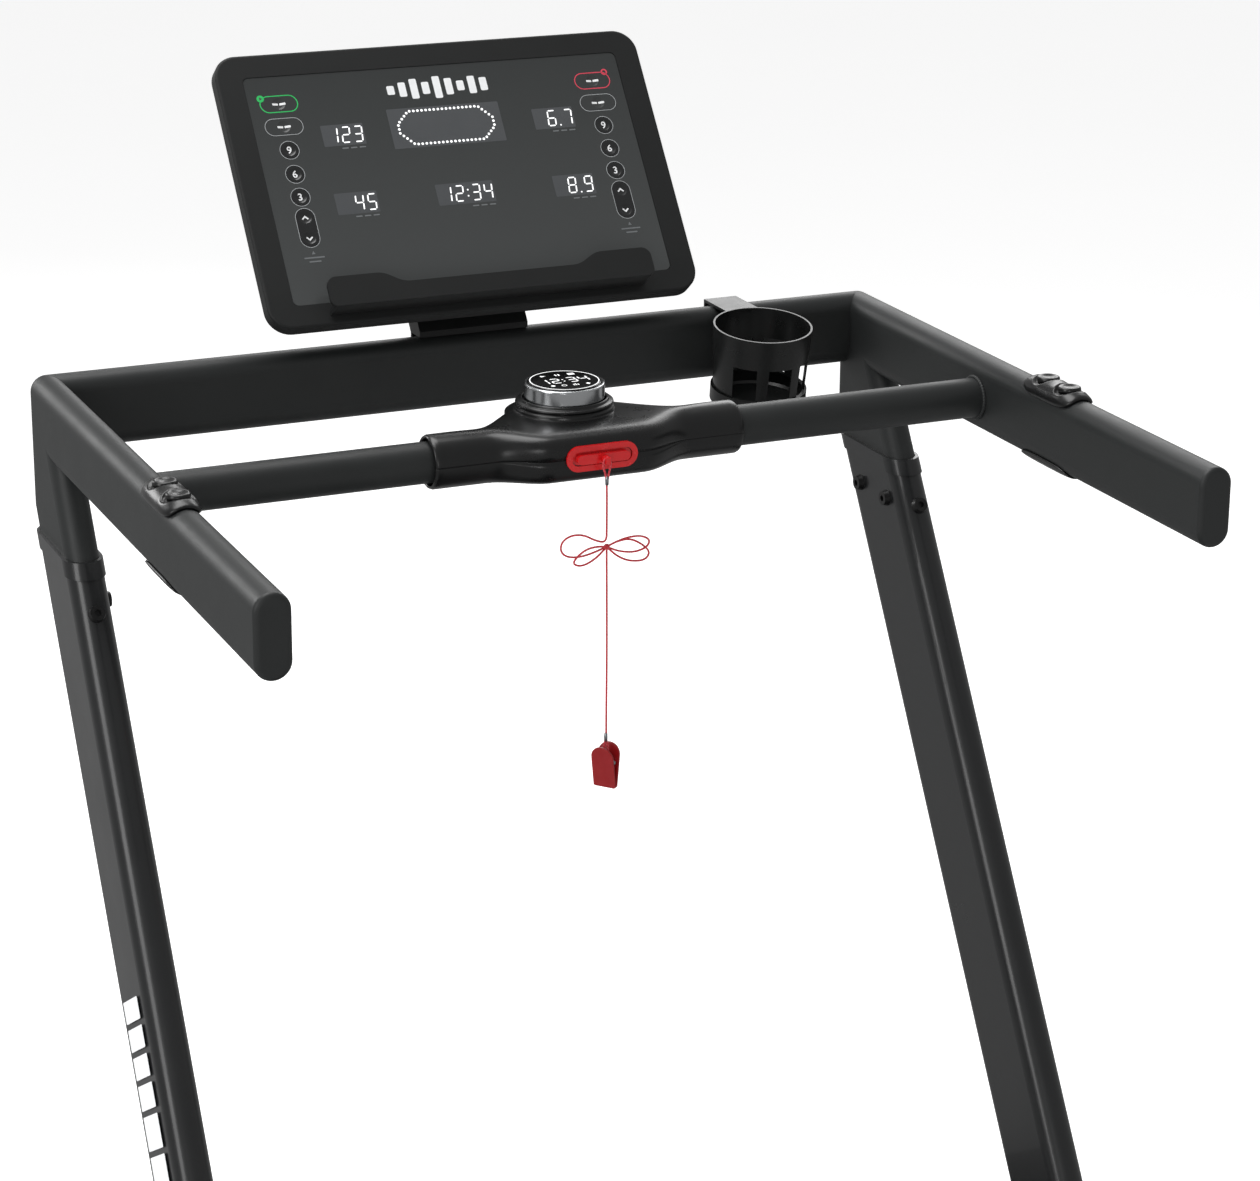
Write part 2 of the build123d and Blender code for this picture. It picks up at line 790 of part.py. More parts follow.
for side, side_name in ((-1, "left"), (1, "right")):
    for shift, button_name in ((-17, "near"), (15, "far")):
        with BuildPart() as pad_button:
            with Locations((side * handle_x, pad_y + shift, pad_top)):
                Cylinder(pad_button_r, 7)
            with Locations((side * handle_x, pad_y + shift, pad_top + 3.5 + 22)):
                Sphere(23.4, mode=Mode.SUBTRACT)
        finish(pad_button, f"pad_{side_name}_{button_name}")

# Base: two floor rails, cross tubes, shoes for the uprights and brackets for wheels and lift

cross_half = rail_x - rail_wide / 2
lift_y, lift_z = lift_pivot
fold_y, fold_z = fold_pivot


def rect_bar(x_range, y_range, z_range, wall=0.0):
    """Square-cut bar; with a wall it is a tube along its longest side."""
    sizes = [high - low for low, high in (x_range, y_range, z_range)]
    middle = [(high + low) / 2 for low, high in (x_range, y_range, z_range)]
    with BuildPart() as body:
        with Locations(tuple(middle)):
            Box(*sizes)
            if wall:
                longest = sizes.index(max(sizes))
                inner = [size - 2 * wall for size in sizes]
                inner[longest] = sizes[longest] - 2 * wall
                Box(*inner, mode=Mode.SUBTRACT)
    return body.part


with BuildPart() as base_frame:
    for side in (-1, 1):
        inner, outer = sorted((side * (rail_x - rail_wide / 2), side * (rail_x + rail_wide / 2)))
        add(rect_bar((inner, outer), (rail_rear, rail_front), (rail_low, rail_high), 2.5))
        for plate_x in (rail_x - 18, rail_x + 18):
            with BuildSketch(Plane.YZ.offset(side * plate_x - 2)):
                with BuildLine():
                    Polyline(
                        (rail_front - 1, rail_low + 4),
                        (wheel_y, wheel_z - 12),
                        (wheel_y + 12, wheel_z),
                        (wheel_y, wheel_z + 12),
                        (rail_front - 1, rail_high - 4),
                        close=True,
                    )
                make_face()
            extrude(amount=4)
        with Locations((side * rail_x, wheel_y, wheel_z)):
            Cylinder(5, 34, rotation=(0, 90, 0))
    cross_tubes = (
        ((rail_rear, rail_rear + 40), (rail_low, 50)),
        ((actuator_base[0] - 30, actuator_base[0] - 10), (rail_low, 36)),
        ((front_tube_y - 1, front_tube_y + 39), (rail_low, 50)),
    )
    for y_range, z_range in cross_tubes[:2]:
        add(rect_bar((-cross_half - 1, cross_half + 1), y_range, z_range, 2))
    add(rect_bar((-cross_half + 6, cross_half - 6), *cross_tubes[2], 2))
    for side in (-1, 1):
        inner, outer = sorted((side * (cross_half - 8), side * (cross_half + 1)))
        add(rect_bar((inner, outer), (rail_front - 60, front_tube_y + 39), (rail_low, 50)))
    with Locations((0, lift_y, lift_z)):
        Cylinder(12, 2 * cross_half + 2, rotation=(0, 90, 0))
        Cylinder(9.5, 2 * cross_half, rotation=(0, 90, 0), mode=Mode.SUBTRACT)
    for x in (actuator_x - 15, actuator_x + 11):
        with BuildSketch(Plane.YZ.offset(x)):
            with Locations((actuator_base[0], actuator_base[1])):
                Circle(9)
                with Locations((-8, 0)):
                    Rectangle(16, 18)
        extrude(amount=4)
    with Locations((actuator_x, actuator_base[0], actuator_base[1])):
        Cylinder(pin_r, 30, rotation=(0, 90, 0))
    for side in (-1, 1):
        add(upright_tube(side, -press_gap - 3, rail_high - 0.5, rail_high + 78))
        add(upright_tube(side, -press_gap, rail_high, rail_high + 90), mode=Mode.SUBTRACT)
    for spot in bolt_spots():
        with BuildSketch(spot.offset(1)):
            Circle(bolt_r + gap)
        extrude(amount=-18, mode=Mode.SUBTRACT)
finish(base_frame, "base_frame")

with BuildPart() as base_feet:
    for side in (-1, 1):
        for y in (rail_rear + 35, 360, rail_front - 50):
            with BuildSketch(Plane.XY):
                with Locations((side * rail_x, y)):
                    Circle(17)
            extrude(amount=rail_low, taper=6)
finish(base_feet, "base_feet")

for side, side_name in ((-1, "left"), (1, "right")):
    with BuildPart() as wheel:
        with Locations((side * rail_x, wheel_y, wheel_z)):
            Cylinder(wheel_r, 24, rotation=(0, 90, 0))
        fillet(wheel.edges().filter_by(GeomType.CIRCLE), radius=3)
        with Locations((side * rail_x, wheel_y, wheel_z)):
            Cylinder(5 + running_gap, 30, rotation=(0, 90, 0), mode=Mode.SUBTRACT)
    finish(wheel, f"transport_wheel_{side_name}")

# Lift: a frame hinged on the base tube carries the fold shaft in slotted ears, because the shaft swings
# about the deck's tail and not about the lift's hinge; a screw actuator tips the lift

shaft_half = 270.0
shaft_slide = 3.6
with BuildPart() as lift_frame:
    for side in (-1, 1):
        inner, outer = sorted((side * (lift_arm_x - 13), side * (lift_arm_x + 13)))
        add(rect_bar((inner, outer), (lift_y + 14, fold_y + 20), (42, 72), 2))
        with Locations((side * lift_arm_x, lift_y, lift_z)):
            Cylinder(17, 26, rotation=(0, 90, 0))
        with BuildSketch(Plane.YZ.offset(side * (lift_arm_x + 9) - 4)):
            with Locations((fold_y, fold_z)):
                Circle(18)
            with Locations((fold_y, fold_z - 18)):
                Rectangle(36, 36)
        extrude(amount=8)
    with Locations((0, lift_y, lift_z)):
        Cylinder(12 + running_gap, 700, rotation=(0, 90, 0), mode=Mode.SUBTRACT)
    with BuildSketch(Plane.YZ.offset(-350)):
        with Locations((fold_y + shaft_slide / 2, fold_z)):
            SlotCenterToCenter(shaft_slide, 2 * (shaft_r + gap))
    extrude(amount=700, mode=Mode.SUBTRACT)
    lift_bar_y = actuator_top[0] + 16
    add(rect_bar((-lift_arm_x + 12, lift_arm_x - 12), (lift_bar_y, lift_bar_y + 30), (44, 70), 2))
    for x in (actuator_x - 15, actuator_x + 11):
        with BuildSketch(Plane.YZ.offset(x)):
            with Locations(actuator_top):
                Circle(8)
                with Locations((9, -4)):
                    Rectangle(16, 14)
        extrude(amount=4)
    with Locations((actuator_x, *actuator_top)):
        Cylinder(pin_r, 30, rotation=(0, 90, 0))
finish(lift_frame, "lift_frame")

with BuildPart() as pivot_shaft:
    with Locations((0, fold_y, fold_z)):
        Cylinder(shaft_r, 2 * shaft_half, rotation=(0, 90, 0))
        Cylinder(shaft_r - 3, 2 * shaft_half, rotation=(0, 90, 0), mode=Mode.SUBTRACT)
finish(pivot_shaft, "pivot_shaft")

actuator_run = (0, actuator_top[0] - actuator_base[0], actuator_top[1] - actuator_base[1])
actuator_long = Vector(*actuator_run).length
actuator_frame = Plane(
    origin=(actuator_x, *actuator_base), x_dir=(1, 0, 0), z_dir=actuator_run
)
actuator_play = 2.0
with BuildPart() as actuator_body:
    with BuildSketch(actuator_frame.offset(18)):
        Circle(15)
    extrude(amount=92)
    with BuildSketch(actuator_frame.offset(22)):
        with Locations((-26, 0)):
            Circle(17)
            with Locations((14, 0)):
                Rectangle(26, 22)
    extrude(amount=66)
    with Locations((actuator_x, *actuator_base)):
        Cylinder(8, 20, rotation=(0, 90, 0))
    with BuildSketch(actuator_frame.offset(2)):
        Rectangle(20, 14)
    extrude(amount=18)
    with Locations((actuator_x, *actuator_base)):
        Cylinder(pin_r + running_gap, 60, rotation=(0, 90, 0), mode=Mode.SUBTRACT)
    with BuildSketch(actuator_frame.offset(40)):
        Circle(6 + running_gap)
    extrude(amount=200, mode=Mode.SUBTRACT)
finish(actuator_body, "actuator_body")

with BuildPart() as actuator_screw:
    with BuildSketch(actuator_frame.offset(48)):
        Circle(6)
    extrude(amount=actuator_long - 48 - 8)
    with Locations((actuator_x, *actuator_top)):
        Cylinder(11, 18, rotation=(0, 90, 0))
        Cylinder(pin_r + actuator_play, 30, rotation=(0, 90, 0), mode=Mode.SUBTRACT)
finish(actuator_screw, "actuator_screw")

# Deck: rails, board, belt on two rollers, foot rails, hood with the motor drive

belt_inner_r = roller_r + gap
board_top = frame_top + board_thick
roller_z = board_top + gap - belt_inner_r
belt_top = board_top + gap + belt_thick
hood_front = fold_y + 62

with BuildPart() as deck_frame:
    for side in (-1, 1):
        inner, outer = sorted((side * (frame_x - frame_wide / 2), side * (frame_x + frame_wide / 2)))
        add(rect_bar((inner, outer), (deck_tail + 32, fold_y + 40), (frame_low, frame_top), 2.5))
        for y in (rear_roller_y, front_roller_y):
            with Locations((side * frame_x, y, roller_z)):
                Cylinder(6 + running_gap, 80, rotation=(0, 90, 0), mode=Mode.SUBTRACT)
        with BuildSketch(Plane.YZ.offset(side * (frame_x - frame_wide / 2 - 3) - 3)):
            with Locations((fold_y, fold_z)):
                Circle(18)
            with Locations((fold_y, fold_z + 18)):
                Rectangle(36, 36)
        extrude(amount=6)
        inner, outer = sorted((side * (frame_x - 18), side * (frame_x + 18)))
        add(rect_bar((inner, outer), (foot_y - 18, foot_y + 18), (foot_r + 6, frame_low + 1)))
    with Locations((0, fold_y, fold_z)):
        Cylinder(shaft_r + running_gap, 700, rotation=(0, 90, 0), mode=Mode.SUBTRACT)
    cross = frame_x - frame_wide / 2 + 1
    for y in (-640, -320, 0, 320):
        add(rect_bar((-cross, cross), (y - 15, y + 15), (frame_low, frame_low + 20), 2))
    add(rect_bar((-cross, cross), (motor_y - 90, motor_y + 66), (frame_low + 2, frame_low + 6)))
finish(deck_frame, "deck_frame")

with BuildPart() as deck_feet:
    for side in (-1, 1):
        with Locations((side * frame_x, foot_y, foot_r)):
            Cylinder(foot_r, 44, rotation=(0, 90, 0))
        with Locations((side * frame_x, foot_y, foot_r + 15.5)):
            Box(36.2, 36.2, 19.3, mode=Mode.SUBTRACT)
finish(deck_feet, "deck_feet")

with BuildPart() as deck_board:
    board_rear = rear_roller_y + roller_r + 12
    board_front = front_roller_y - roller_r - 14
    with BuildSketch(Plane.XY.offset(frame_top)):
        with Locations((0, (board_rear + board_front) / 2)):
            Rectangle(2 * frame_x, board_front - board_rear)
    extrude(amount=board_thick)
    for x in (-frame_x + 10, frame_x - 10):
        for y in (-600, -250, 100):
            with Locations((x, y, board_top)):
                Cylinder(4, 6, mode=Mode.SUBTRACT)
finish(deck_board, "deck_board")

belt_middle = (rear_roller_y + front_roller_y) / 2
belt_span = front_roller_y - rear_roller_y
with BuildPart() as running_belt:
    with BuildSketch(Plane.YZ.offset(-belt_half)):
        with Locations((belt_middle, roller_z)):
            SlotOverall(belt_span + 2 * (belt_inner_r + belt_thick), 2 * (belt_inner_r + belt_thick))
            SlotOverall(belt_span + 2 * belt_inner_r, 2 * belt_inner_r, mode=Mode.SUBTRACT)
    extrude(amount=2 * belt_half)
finish(running_belt, "running_belt")

rail_top = belt_top + 14
with BuildPart() as side_rails:
    for side in (-1, 1):
        with BuildSketch(side_plane(hood_rear - 6)):
            with BuildLine():
                Polyline(
                    (side * (belt_half + 6), board_top + gap),
                    (side * (belt_half + 6), rail_top - 6),
                    (side * (belt_half + 14), rail_top),
                    (side * (deck_half - 5), rail_top),
                    (side * deck_half, rail_top - 5),
                    (side * deck_half, frame_low + 12),
                    (side * (deck_half - 4), frame_low + 12),
                    (side * (deck_half - 4), board_top + gap),
                    close=True,
                )
            make_face()
        extrude(amount=hood_rear - 6 - (deck_tail + 62))
        for ridge in range(5):
            with BuildSketch(Plane.XY.offset(rail_top)):
                with Locations((side * (belt_half + 26 + 11 * ridge), (hood_rear + deck_tail) / 2 + 28)):
                    Rectangle(3, hood_rear - deck_tail - 100)
            extrude(amount=-1.2, mode=Mode.SUBTRACT)
finish(side_rails, "side_rails")

with BuildPart() as rear_end_caps:
    for side in (-1, 1):
        cap_in = belt_half + 4
        cap_out = deck_half + 2
        middle = side * (cap_in + cap_out) / 2
        with Locations((middle, deck_tail + 30.5, (frame_low + rail_top) / 2)):
            Box(cap_out - cap_in, 61, rail_top + 2 - frame_low + 2)
        fillet(rear_end_caps.edges().filter_by(Axis.Z).sort_by(Axis.Y)[0:2], radius=10)
        with Locations((middle - side * 2, deck_tail + 3 + 40, (frame_low + rail_top) / 2 - 2)):
            Box(cap_out - cap_in - 2, 80, rail_top - frame_low, mode=Mode.SUBTRACT)
finish(rear_end_caps, "rear_end_caps")

hood_top = 246.0
hood_points = (
    (hood_rear, belt_top + 6),
    (hood_rear, belt_top + 20),
    (hood_rear + 90, hood_top - 4),
    (hood_rear + 150, hood_top),
    (hood_rear + 230, hood_top - 10),
    (hood_front - 6, hood_top - 74),
    (hood_front, hood_top - 92),
    (hood_front, frame_low + 6),
    (hood_rear, frame_low + 6),
)
hood_inside = (
    (hood_rear - 10, belt_top + 4),
    (hood_rear + 3, belt_top + 4),
    (hood_rear + 3, belt_top + 18),
    (hood_rear + 91, hood_top - 7),
    (hood_rear + 150, hood_top - 3),
    (hood_rear + 229, hood_top - 13),
    (hood_front - 9, hood_top - 76),
    (hood_front - 3, hood_top - 92),
    (hood_front - 3, frame_low),
    (hood_rear - 10, frame_low),
)
switch_x = -200.0
switch_z = 128.0
inlet_x = -150.0
with BuildPart() as motor_hood:
    with BuildSketch(Plane.YZ.offset(-deck_half)):
        with BuildLine():
            Polyline(*hood_points, close=True)
        make_face()
    extrude(amount=2 * deck_half)
    long_edges = motor_hood.edges().filter_by(Axis.X).sort_by(Axis.Z)[-6:]
    fillet(long_edges, radius=12)
    with BuildSketch(Plane.YZ.offset(-deck_half + 3)):
        with BuildLine():
            Polyline(*hood_inside, close=True)
        make_face()
    extrude(amount=2 * deck_half - 6, mode=Mode.SUBTRACT)
    with Locations((switch_x, hood_front, switch_z)):
        Box(15.6, 20, 22.8, mode=Mode.SUBTRACT)
    with Locations((inlet_x, hood_front, switch_z)):
        Box(30, 20, 22)
        Box(23, 40, 16, mode=Mode.SUBTRACT)
finish(motor_hood, "motor_hood")

with BuildPart() as power_switch:
    with BuildSketch(Plane.YZ.offset(switch_x - 7.5)):
        with BuildLine():
            Polyline(
                (hood_front - 10, switch_z - 8),
                (hood_front + 1.5, switch_z - 10.4),
                (hood_front + 0.6, switch_z),
                (hood_front + 4.0, switch_z + 9.4),
                (hood_front - 10, switch_z + 8),
                close=True,
            )
        make_face()
    extrude(amount=15)
    with Locations((switch_x, hood_front - 4, switch_z)):
        Cylinder(1.5, 15.4, rotation=(0, 90, 0))
finish(power_switch, "power_switch")

motor_low = -235.0
motor_high = -85.0
with BuildPart() as drive_motor:
    with Locations(((motor_low + motor_high) / 2, motor_y, motor_z)):
        Cylinder(42, motor_high - motor_low, rotation=(0, 90, 0))
    for x in (motor_low + 30, motor_high - 30):
        with Locations((x, motor_y, (motor_z + frame_low + 6) / 2)):
            Box(20, 90, motor_z - frame_low - 6)
    with Locations(((motor_low + motor_high) / 2, motor_y, motor_z)):
        Cylinder(7.5 + running_gap, motor_high - motor_low, rotation=(0, 90, 0), mode=Mode.SUBTRACT)
finish(drive_motor, "drive_motor")

with BuildPart() as motor_shaft:
    with Locations(((pulley_x - pulley_half - 2 - 60) / 2, motor_y, motor_z)):
        Cylinder(7.5, -60 - (pulley_x - pulley_half - 2), rotation=(0, 90, 0))
    with Locations((pulley_x, motor_y, motor_z)):
        Cylinder(motor_pulley_r, 2 * pulley_half, rotation=(0, 90, 0))
    with Locations((-72, motor_y, motor_z)):
        Cylinder(50, 14, rotation=(0, 90, 0))
        Cylinder(42, 5, rotation=(0, 90, 0), mode=Mode.SUBTRACT)
        Cylinder(20, 14, rotation=(0, 90, 0))
finish(motor_shaft, "motor_shaft")

with BuildPart() as motor_controller:
    with Locations((140, motor_y, frame_low + 6 + 4)):
        Box(150, 100, 8)
    for fin in range(9):
        with Locations((80 + 15 * fin, motor_y, frame_low + 6 + 8 + 14)):
            Box(3, 100, 28)
    with Locations((140, motor_y + 57, frame_low + 6 + 16)):
        Box(150, 12, 32)
finish(motor_controller, "motor_controller")


def roller(name, y, with_pulley):
    with BuildPart() as drum:
        with Locations((0, y, roller_z)):
            Cylinder(roller_r, 2 * (belt_half + 8), rotation=(0, 90, 0))
            Cylinder(roller_r - 3, 2 * (belt_half - 4), rotation=(0, 90, 0), mode=Mode.SUBTRACT)
            Cylinder(6, 2 * (frame_x + 8), rotation=(0, 90, 0))
        if with_pulley:
            with Locations((pulley_x, y, roller_z)):
                Cylinder(roller_pulley_r, 2 * pulley_half, rotation=(0, 90, 0))
    finish(drum, name)


roller("front_roller", front_roller_y, True)
roller("rear_roller", rear_roller_y, False)

with BuildPart() as drive_belt:
    span = Vector(0, motor_y - front_roller_y, motor_z - roller_z)
    reach = span.length
    spread = asin((roller_pulley_r - motor_pulley_r) / reach)
    for grow, cut in ((2.3, Mode.ADD), (gap, Mode.SUBTRACT)):
        large = roller_pulley_r + grow
        small = motor_pulley_r + grow
        belt_frame = Plane(origin=(pulley_x, front_roller_y, roller_z), x_dir=tuple(span), z_dir=(1, 0, 0))
        with BuildSketch(belt_frame.offset(-pulley_half + 1)):
            Circle(large)
            with Locations((reach, 0)):
                Circle(small)
            with BuildLine():
                Polyline(
                    (large * sin(spread), large * cos(spread)),
                    (reach + small * sin(spread), small * cos(spread)),
                    (reach + small * sin(spread), -small * cos(spread)),
                    (large * sin(spread), -large * cos(spread)),
                    close=True,
                )
            make_face()
        extrude(amount=2 * pulley_half - 2, mode=cut)
finish(drive_belt, "drive_belt")
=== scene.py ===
from math import cos, pi, radians, sin

import bmesh
import bpy
import numpy as np
from mathutils import Matrix, Vector


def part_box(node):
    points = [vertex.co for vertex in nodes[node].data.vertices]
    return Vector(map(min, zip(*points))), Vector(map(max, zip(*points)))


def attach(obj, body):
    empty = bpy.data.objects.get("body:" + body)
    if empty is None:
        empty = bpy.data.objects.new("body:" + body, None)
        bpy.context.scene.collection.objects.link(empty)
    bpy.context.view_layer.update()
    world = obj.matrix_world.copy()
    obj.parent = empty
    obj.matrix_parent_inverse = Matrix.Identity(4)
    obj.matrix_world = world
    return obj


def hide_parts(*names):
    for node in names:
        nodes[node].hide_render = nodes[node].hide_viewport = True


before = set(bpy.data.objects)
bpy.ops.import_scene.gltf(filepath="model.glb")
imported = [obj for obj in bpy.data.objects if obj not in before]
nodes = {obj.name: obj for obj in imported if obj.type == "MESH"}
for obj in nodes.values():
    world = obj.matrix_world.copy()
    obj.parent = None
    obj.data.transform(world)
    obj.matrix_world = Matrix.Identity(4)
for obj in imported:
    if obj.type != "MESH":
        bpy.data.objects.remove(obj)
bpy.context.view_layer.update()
mm = 0.001
print("frame loaded:", len(nodes), "nodes")


def hexColour(code):  # sRGB hex text to linear RGBA
    parts = [int(code[i:i + 2], 16) / 255 for i in (1, 3, 5)]
    return tuple(p / 12.92 if p <= 0.04045 else ((p + 0.055) / 1.055) ** 2.4 for p in parts) + (1.0,)


def addNode(tree, kind, settings=(), values=(), links=()):  # one node, its settings, sockets and links
    fresh = tree.nodes.new(kind)
    for name, value in dict(settings).items():
        setattr(fresh, name, value)
    for socket, value in dict(values).items():
        fresh.inputs[socket].default_value = value
    for socket, source in dict(links).items():
        tree.links.new(source, fresh.inputs[socket])
    return fresh


def emptyMaterial(name):  # a material, its tree, and the object coordinates as the tree's only node
    material = bpy.data.materials.new(name)
    material.use_nodes = True
    tree = material.node_tree
    tree.nodes.clear()
    return material, tree, addNode(tree, "ShaderNodeTexCoord").outputs["Object"]


# A finish made of two close colours mottled together, a fine grain as bump, and roughness that wanders
# with a second, slower noise. Sizes are in millimetres; stretch squeezes the grain along an axis.
def grainedFinish(name, look):
    material, tree, place = emptyMaterial(name)
    stretched = addNode(tree, "ShaderNodeMapping", values={"Scale": look.get("stretch", (1, 1, 1))},
                        links={"Vector": place}).outputs["Vector"]
    grain = addNode(tree, "ShaderNodeTexNoise", links={"Vector": stretched},
                    values={"Scale": 1 / (look["grain"] * mm), "Detail": 3.0, "Roughness": 0.55})
    slow = addNode(tree, "ShaderNodeTexNoise", links={"Vector": place},
                   values={"Scale": 1 / (look["mottle"] * mm), "Detail": 4.0, "Roughness": 0.6})
    colour = addNode(tree, "ShaderNodeMix", {"data_type": "RGBA"}, links={0: slow.outputs["Fac"]},
                     values={6: hexColour(look["dark"]), 7: hexColour(look["light"])})
    rough = addNode(tree, "ShaderNodeMapRange", links={"Value": slow.outputs["Fac"]},
                    values={"From Min": 0.3, "From Max": 0.7, "To Min": look["rough"][0],
                            "To Max": look["rough"][1]})
    bump = addNode(tree, "ShaderNodeBump", links={"Height": grain.outputs["Fac"]},
                   values={"Strength": 1.0, "Distance": look["height"] * mm})
    shader = addNode(tree, "ShaderNodeBsdfPrincipled",
                     values={"Metallic": look.get("metal", 0.0), **look.get("extra", {})},
                     links={"Base Color": colour.outputs[2], "Roughness": rough.outputs[0],
                            "Normal": bump.outputs["Normal"]})
    addNode(tree, "ShaderNodeOutputMaterial", links={"Surface": shader.outputs[0]})
    return material


finishes = {
    # Polyester powder coat, baked: matt black with a fine leathery tooth, soft broad highlights.
    "texturedPowderCoat": dict(dark="#1d1f1f", light="#242626", grain=0.9, height=0.05, mottle=60,
                               rough=(0.44, 0.52), extra={"Specular IOR Level": 0.42}),
    # Smooth black enamel on the lower uprights: sharper, brighter bands of reflection.
    "blackEnamel": dict(dark="#151617", light="#1b1c1d", grain=2.5, height=0.012, mottle=80,
                        rough=(0.27, 0.34), extra={"Specular IOR Level": 0.5, "Coat Weight": 0.2}),
    # Sprayed black primer and coat on the floor frame: duller than the handrail.
    "floorFramePaint": dict(dark="#18191a", light="#222324", grain=1.1, height=0.05, mottle=45,
                            rough=(0.46, 0.6), extra={"Specular IOR Level": 0.4}),
    # Injection-moulded ABS with a spark-eroded grain: an even charcoal that hardly shines.
    "grainedAbs": dict(dark="#1a1b1b", light="#1f2020", grain=0.6, height=0.035, mottle=90,
                       rough=(0.5, 0.6), extra={"Specular IOR Level": 0.28}),
    # Satin ABS from a smooth mould: black with long soft reflections.
    "satinAbs": dict(dark="#0b0b0c", light="#101111", grain=1.4, height=0.008, mottle=40,
                     rough=(0.25, 0.33), extra={"Specular IOR Level": 0.5}),
    # High-gloss ABS: nearly a mirror, with the slightest moulding ripple.
    "pianoBlackAbs": dict(dark="#070708", light="#0a0a0b", grain=9.0, height=0.01, mottle=30,
                          rough=(0.07, 0.13), extra={"Coat Weight": 0.6, "Coat Roughness": 0.04}),
    # Red polypropylene, gloss moulded, a little translucent at its edges.
    "redGloss": dict(dark="#c30b10", light="#d41118", grain=3.0, height=0.008, mottle=14,
                     rough=(0.2, 0.3), extra={"Coat Weight": 0.35, "Coat Roughness": 0.12}),
    # The clip's red is older stock: darker and less shiny.
    "redClipPlastic": dict(dark="#8f0b10", light="#a51118", grain=0.7, height=0.01, mottle=8,
                           rough=(0.3, 0.4), extra={"Coat Weight": 0.2, "Coat Roughness": 0.2}),
    # Black-oxide steel screws: dark, slightly oily.
    "blackOxideSteel": dict(dark="#101010", light="#1a1a1b", grain=0.5, height=0.01, mottle=4,
                            rough=(0.3, 0.42), metal=0.3),
    # Laser-cut bracket, semi-matt black paint over steel.
    "bracketPaint": dict(dark="#0e0f0f", light="#141515", grain=1.0, height=0.02, mottle=30,
                         rough=(0.4, 0.5), extra={"Specular IOR Level": 0.35}),
    # Turned and polished aluminium ring: fine rings round it from the lathe.
    "turnedAluminium": dict(dark="#b9bbbd", light="#d6d8da", grain=1.2, height=0.006, mottle=25,
                            rough=(0.16, 0.24), metal=1.0, stretch=(1, 1, 14)),
    # Zinc-plated steel for shafts and rollers: grey with cloudy patches.
    "zincPlate": dict(dark="#8e9194", light="#b4b7ba", grain=1.0, height=0.01, mottle=12,
                      rough=(0.24, 0.4), metal=1.0),
    # Sheet steel with gloss black dip coat: the cup holder.
    "dippedSteel": dict(dark="#101111", light="#171818", grain=4.0, height=0.02, mottle=25,
                        rough=(0.26, 0.34), extra={"Specular IOR Level": 0.4}),
    # Moulded rubber feet: dusty black.
    "mouldedRubber": dict(dark="#151515", light="#202020", grain=0.8, height=0.04, mottle=15,
                          rough=(0.7, 0.85), extra={"Specular IOR Level": 0.3}),
    # PVC running belt, embossed: the bump is the anti-slip pattern, drawn a little coarse.
    "embossedBelt": dict(dark="#141415", light="#1c1c1d", grain=2.2, height=0.35, mottle=120,
                         rough=(0.58, 0.7), extra={"Specular IOR Level": 0.35}),
    # Phenolic-faced board: brown film over fibreboard with a long grain.
    "phenolicBoard": dict(dark="#4a2f1d", light="#6d4a2f", grain=2.0, height=0.02, mottle=18,
                          rough=(0.35, 0.5), stretch=(1, 0.08, 1)),
    # Painted cast motor can: dark grey, slightly pitted.
    "castMotorPaint": dict(dark="#2b2d30", light="#36393c", grain=1.0, height=0.09, mottle=20,
                           rough=(0.4, 0.55)),
    # Extruded aluminium heat sink: drawn lines along the fins.
    "extrudedAluminium": dict(dark="#9a9c9e", light="#b9bbbc", grain=0.8, height=0.012, mottle=25,
                              rough=(0.28, 0.4), metal=1.0, stretch=(1, 0.05, 1)),
    # Nylon wheel: black, waxy.
    "blackNylon": dict(dark="#141415", light="#1c1c1d", grain=0.7, height=0.02, mottle=12,
                       rough=(0.4, 0.5), extra={"Specular IOR Level": 0.45}),
    # Screen-printed white ink: flat, hardly shiny.
    "whiteInk": dict(dark="#e9ebec", light="#f6f7f8", grain=0.5, height=0.004, mottle=6,
                     rough=(0.5, 0.6)),
    # Grey ink of the small labels and key outlines.
    "greyInk": dict(dark="#a3a6a8", light="#b4b7b9", grain=0.5, height=0.004, mottle=6,
                    rough=(0.5, 0.6)),
    # Thin grey ink of the smallest labels, half as bright.
    "dimInk": dict(dark="#65686a", light="#727577", grain=0.5, height=0.004, mottle=6,
                   rough=(0.5, 0.6)),
    # The film over a key's dish, domed and glossier than the overlay round it; its near-black colour is painted
    # shade standing in for the hollow of the dish.
    "keyFilmAndPaintedShade": dict(dark="#141516", light="#1a1b1c", grain=2.0, height=0.003, mottle=10,
                    rough=(0.22, 0.28), extra={"Coat Weight": 0.3, "Coat Roughness": 0.15}),
    "greenInk": dict(dark="#1fb457", light="#2cc566", grain=0.5, height=0.004, mottle=6,
                     rough=(0.45, 0.55)),
    "pinkInk": dict(dark="#d03a50", light="#dc4a5e", grain=0.5, height=0.004, mottle=6,
                    rough=(0.45, 0.55)),
    # Smoked display window: a shade lighter than the overlay, because the display behind it scatters light.
    "smokedWindow": dict(dark="#4b4d4f", light="#525456", grain=1.0, height=0.002, mottle=30,
                         rough=(0.2, 0.26), extra={"Specular IOR Level": 0.4}),
}
made = {name: grainedFinish(name, look) for name, look in finishes.items()}
